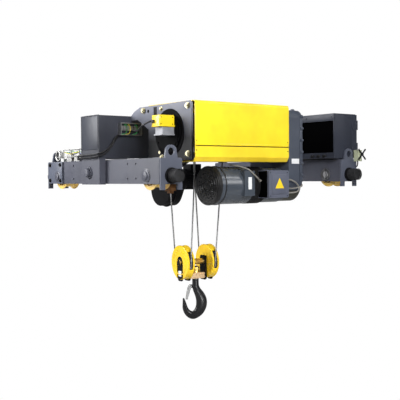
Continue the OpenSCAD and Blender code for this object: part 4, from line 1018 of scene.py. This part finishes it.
def limit_switch_details(looks):
    """Rounded hood, screws and lead of the rotary limit switch."""
    low, high = (Vector(v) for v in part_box("limit_switch_cover"))
    hood = Piece("limit_switch_hood")
    hood.box(low, (high.x, high.y, high.z), 0.006, segments=4)
    hood.box((low.x - 0.002, low.y - 0.002, low.z), (high.x, high.y, low.z + 0.008), 0.002)
    piece = hood.done(looks["yellow_paint"], "frame")
    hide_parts("limit_switch_cover")
    screws = Piece("limit_switch_screws")
    for x in (low.x + 0.01, high.x - 0.014):
        for z in (low.z + 0.014, high.z - 0.012):
            screws.disc((x, low.y, z), (0, -1, 0), 0.003, 0.0015, 0.0006, 16)
    screws.done(looks["black_paint"], "frame")
    lead = Piece("limit_switch_lead")
    lead.tube([(low.x + 0.02, high.y - 0.02, low.z + 0.03), (low.x - 0.012, high.y - 0.005, low.z + 0.03),
               (low.x - 0.02, high.y + 0.06, low.z + 0.012), (low.x + 0.03, -0.28, low.z - 0.01),
               (low.x + 0.09, -0.17, low.z - 0.004), (-0.6, -0.11, low.z + 0.002), (-0.61, -0.09, low.z + 0.01)], 0.005)
    lead.disc((low.x + 0.0, high.y - 0.02, low.z + 0.03), (-1, 0, 0), 0.009, 0.012, 0.002, 20)
    lead.done(looks["cable_rubber"], "frame")


def cabinet_details(looks):
    low, high = (Vector(v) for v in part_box("cabinet"))
    # The node's box takes in the hinge; these are the walls themselves
    low.y, high.x = -0.621, 0.780
    band = Piece("cabinet_band")
    band.box((low.x - 0.003, low.y + 0.002, high.z - 0.046), (low.x + 0.002, high.y - 0.002, high.z - 0.002), 0.001)
    band.done(looks["cabinet_paint"], "frame")
    # Painted shade: the mounting panel and its rails are near-black so the cabinet's inside reads as shaded
    panel = Piece("cabinet_inner_panel")
    panel.box((low.x + 0.008, low.y + 0.009, low.z + 0.045), (low.x + 0.0105, high.y - 0.009, high.z - 0.046), 0.0005)
    for i in range(7):
        y = low.y + 0.06 + i * 0.055
        panel.box((low.x + 0.006, y, low.z + 0.09), (low.x + 0.012, y + 0.03, low.z + 0.094), 0.0008)
        panel.box((low.x + 0.006, y, low.z + 0.106), (low.x + 0.012, y + 0.03, low.z + 0.110), 0.0008)
    panel.done(looks["shade_black"], "frame")
    bolts = Piece("cabinet_bolts")
    for y in (low.y + 0.02, low.y + 0.24, high.y - 0.03):
        bolts.bolt((low.x - 0.003, y, high.z - 0.02), (-1, 0, 0), 0.005, 0.004)
    bolts.done(looks["cabinet_paint"], "frame")
    seam = Piece("cabinet_front_panel")
    seam.box((low.x + 0.005, low.y - 0.002, low.z + 0.006), (high.x - 0.034, low.y + 0.001, high.z - 0.006), 0.001)
    seam.done(looks["cabinet_paint"], "frame")
    loom = Piece("right_beam_cables")
    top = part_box("right_carriage_beam")[1][2]
    for i, (x, r) in enumerate(((0.636, 0.0065), (0.652, 0.0055), (0.668, 0.005))):
        loom.tube([(x, -0.60 + 0.03 * i, top + r), (x + 0.003, -0.45, top + r), (x - 0.003, -0.3, top + r),
                   (x, -0.18, top + r), (x - 0.004, -0.12, top + r), (x - 0.02, -0.1, top + r)], r)
    loom.done(looks["cable_rubber"], "frame")
    base = Piece("cabinet_glands")
    for y in (low.y + 0.09, low.y + 0.14, low.y + 0.19):
        base.lathe([(0.013, 0), (0.013, 0.006), (0.010, 0.008), (0.010, 0.02)], (low.x + 0.012, y, low.z + 0.02),
                   (-1, 0, 0), 24)
    base.done(looks["fan_plastic"], "frame")


def travel_details(looks):
    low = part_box("travel_gearbox")[0]
    split = Piece("travel_gearbox_flange")
    for x in (low[0] + 0.058, ):
        for k in range(40):
            a0 = math.radians(170 + 5.0 * k)
            a1 = math.radians(170 + 5.0 * (k + 1))
            if a1 > math.radians(350):
                break
            p0 = (x, 0.43 + 0.114 * math.cos(a0), -0.031 + 0.114 * math.sin(a0))
            p1 = (x, 0.43 + 0.114 * math.cos(a1), -0.031 + 0.114 * math.sin(a1))
            split.tube([p0, p1], 0.006, 8, 1)
    split.done(looks["black_paint"], "frame", 60.0)
    motor = [Vector(v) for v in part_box("travel_motor")]
    hood = Piece("travel_fan_grille")
    y, z = 0.35, 0.038
    for ring in (0.014, 0.028, 0.042, 0.056):
        hood.lathe([(ring, 0), (ring + 0.001, 0.002), (ring + 0.004, 0.002), (ring + 0.005, 0)], (motor[1].x, y, z),
                   (1, 0, 0), 48, closed=False)
    hood.done(looks["fan_plastic"], "frame")


def block_details(looks):
    """Rim beads, a screw and label plates on the hook block."""
    across = BLOCK_AXIS.normalized()
    along = Vector((0, 0, 1)).cross(across).normalized()
    beads = Piece("block_cover_beads")
    plates = Piece("block_cheek_plates")
    screws = Piece("block_screws")
    for s in (-1, 1):
        outer = BLOCK_AT + across * s * 0.108
        inner = BLOCK_AT + across * s * 0.062
        for at, d in ((outer, -s), (inner, s)):
            beads.lathe([(0.1003, 0.0), (0.103, 0.0016), (0.103, 0.0052), (0.1003, 0.007)], at, across * d, 72, closed=False)
        beads.lathe([(0.070, 0.0), (0.0715, 0.0018), (0.0745, 0.0018), (0.076, 0.0)], outer, across * s, 72, closed=False)
        basis = Matrix((across * s, along, Vector((0, 0, 1)))).transposed()
        low = len(plates.bm.verts)
        plates.box((0, -0.017, -0.084), (0.0014, 0.017, -0.05), 0.0004)
        plates.bm.verts.ensure_lookup_table()
        for v in plates.bm.verts[low:]:
            v.co = BLOCK_AT + across * s * 0.107 + basis @ v.co
        screws.bolt(BLOCK_AT + across * s * 0.107 + along * 0.014 + Vector((0, 0, -0.098)), across * s, 0.004, 0.003)
    beads.done(looks["block_yellow"], "hook_block")
    plates.done(looks["label_white"], "hook_block")
    ends = Piece("block_axle_ends")
    for s in (-1, 1):
        ends.disc(BLOCK_AT + across * s * 0.116, across * s, 0.0175, 0.0015, 0.0005, 40)
    ends.done(looks["black_paint"], "hook_block")
    screws.done(looks["nut_steel"], "hook_block")


def rack_details(looks):
    """Thin wires, connectors and the coil of cable on the left beam."""
    low, high = (Vector(v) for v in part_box("cable_rack"))
    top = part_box("left_carriage_beam")[1][2]
    for look, offset, height in (("wire_yellow", 0.012, 0.052), ("wire_green", 0.022, 0.056), ("wire_blue", 0.03, 0.05),
                                 ("cable_rubber", 0.04, 0.05)):
        wires = Piece(f"rack_{look}")
        points = []
        for i in range(9):
            y = low.y + 0.01 + i * 0.026
            points.append((low.x + offset + random.uniform(-0.006, 0.006), y, top + height + random.uniform(-0.004, 0.012)))
        wires.tube(points, 0.0022, 8)
        wires.done(looks[look], "frame")
    coil = Piece("coiled_cable")
    centre = Vector((low.x + 0.026, 0.578, top + 0.039))
    turns, radius = 5, 0.0305
    points = []
    for i in range(turns * 20 + 1):
        a = 2 * math.pi * i / 20
        r = radius + 0.002 * math.sin(i * 0.7)
        points.append(centre + Vector((-0.0105 + 0.021 * i / (turns * 20), r * math.cos(a), r * math.sin(a))))
    coil.tube(points, 0.0029, 8, 1)
    coil.done(looks["cable_rubber"], "frame", 80.0)
    plug = Piece("loose_connector")
    plug.box((centre.x - 0.01, 0.50, top), (centre.x + 0.018, 0.54, top + 0.022), 0.003)
    plug.done(looks["box_white"], "frame")


def bracket_wires(looks):
    low, high = (Vector(v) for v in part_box("wiring_bracket"))
    for n, look in enumerate(("wire_green", "wire_yellow", "cable_rubber", "wire_green", "lead_grey")):
        x = low.x + 0.03 + n * 0.024
        wires = Piece(f"bracket_wire_{n}")
        wires.tube([(x, high.y - 0.02, low.z + 0.055), (x + 0.004, low.y + 0.004, low.z + 0.064),
                    (x + 0.012, low.y + 0.002, low.z + 0.04), (x + 0.006, low.y + 0.006, low.z + 0.012),
                    (x - 0.012, high.y - 0.01, low.z + 0.006)], 0.0018, 8)
        wires.done(looks[look], "frame")


def plate_details(looks):
    """Ear, strip and fasteners on the hoist's left side plate, and a black disc of painted shade round the drum end."""
    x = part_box("hoist_side_plates")[0][0]
    strip = Piece("side_plate_strip")
    strip.box((x - 0.003, -0.345, 0.408), (x + 0.001, -0.318, 0.455), 0.001)
    strip.done(looks["black_paint"], "frame")
    # Painted shade: a black disc, wider than the drum end cover, laid on the side plate where shade falls round the
    # drum end
    flange = Piece("drum_end_painted_shade_disc")
    flange.disc((x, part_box("drum_end_cover")[0][1] / 2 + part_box("drum_end_cover")[1][1] / 2,
                 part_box("drum_end_cover")[0][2] / 2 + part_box("drum_end_cover")[1][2] / 2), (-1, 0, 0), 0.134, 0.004,
                0.001, 96)
    flange.done(looks["drum_black"], "frame")
    nuts = Piece("side_plate_nuts")
    nuts.bolt((x, -0.39, 0.44), (-1, 0, 0), 0.009, 0.008)
    nuts.done(looks["rod_zinc"], "frame")
    rods = Piece("rod_washers")
    for y, z in ((-0.64, 0.441), (-0.64, 0.182), (-0.215, 0.441), (-0.40, 0.165)):
        rods.disc((x - 0.0035, y, z), (1, 0, 0), 0.017, 0.0035, 0.0008, 32)
    rods.done(looks["rod_zinc"], "frame")


def end_switch_details(looks):
    low, high = (Vector(v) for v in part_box("travel_limit_switch"))
    lid = Piece("end_switch_lid")
    lid.box((low.x + 0.003, low.y + 0.010, low.z + 0.004), (high.x - 0.003, low.y + 0.013, high.z - 0.004), 0.0012)
    lid.done(looks["switch_housing"], "frame")
    lead = Piece("end_switch_lead")
    lead.tube([((low.x + high.x) / 2, high.y - 0.018, low.z + 0.004), ((low.x + high.x) / 2, high.y - 0.018, low.z - 0.014),
               ((low.x + high.x) / 2 + 0.003, high.y - 0.01, low.z - 0.03), (high.x - 0.004, high.y + 0.01, low.z - 0.034),
               (high.x + 0.0, high.y + 0.04, low.z - 0.03)], 0.004)
    lead.done(looks["cable_rubber"], "frame")


# ---------- Everything ----------

looks = build_materials()
make_camera()
make_stage()
dress_cad_nodes(looks)
make_ropes(looks)
make_hook(looks)
latch_cheeks(looks)
cover_details(looks)
carriage_details(looks)
cross_beam_details(looks)
motor_details(looks)
gearbox_details(looks)
limit_switch_details(looks)
cabinet_details(looks)
travel_details(looks)
block_details(looks)
rack_details(looks)
bracket_wires(looks)
plate_details(looks)
end_switch_details(looks)
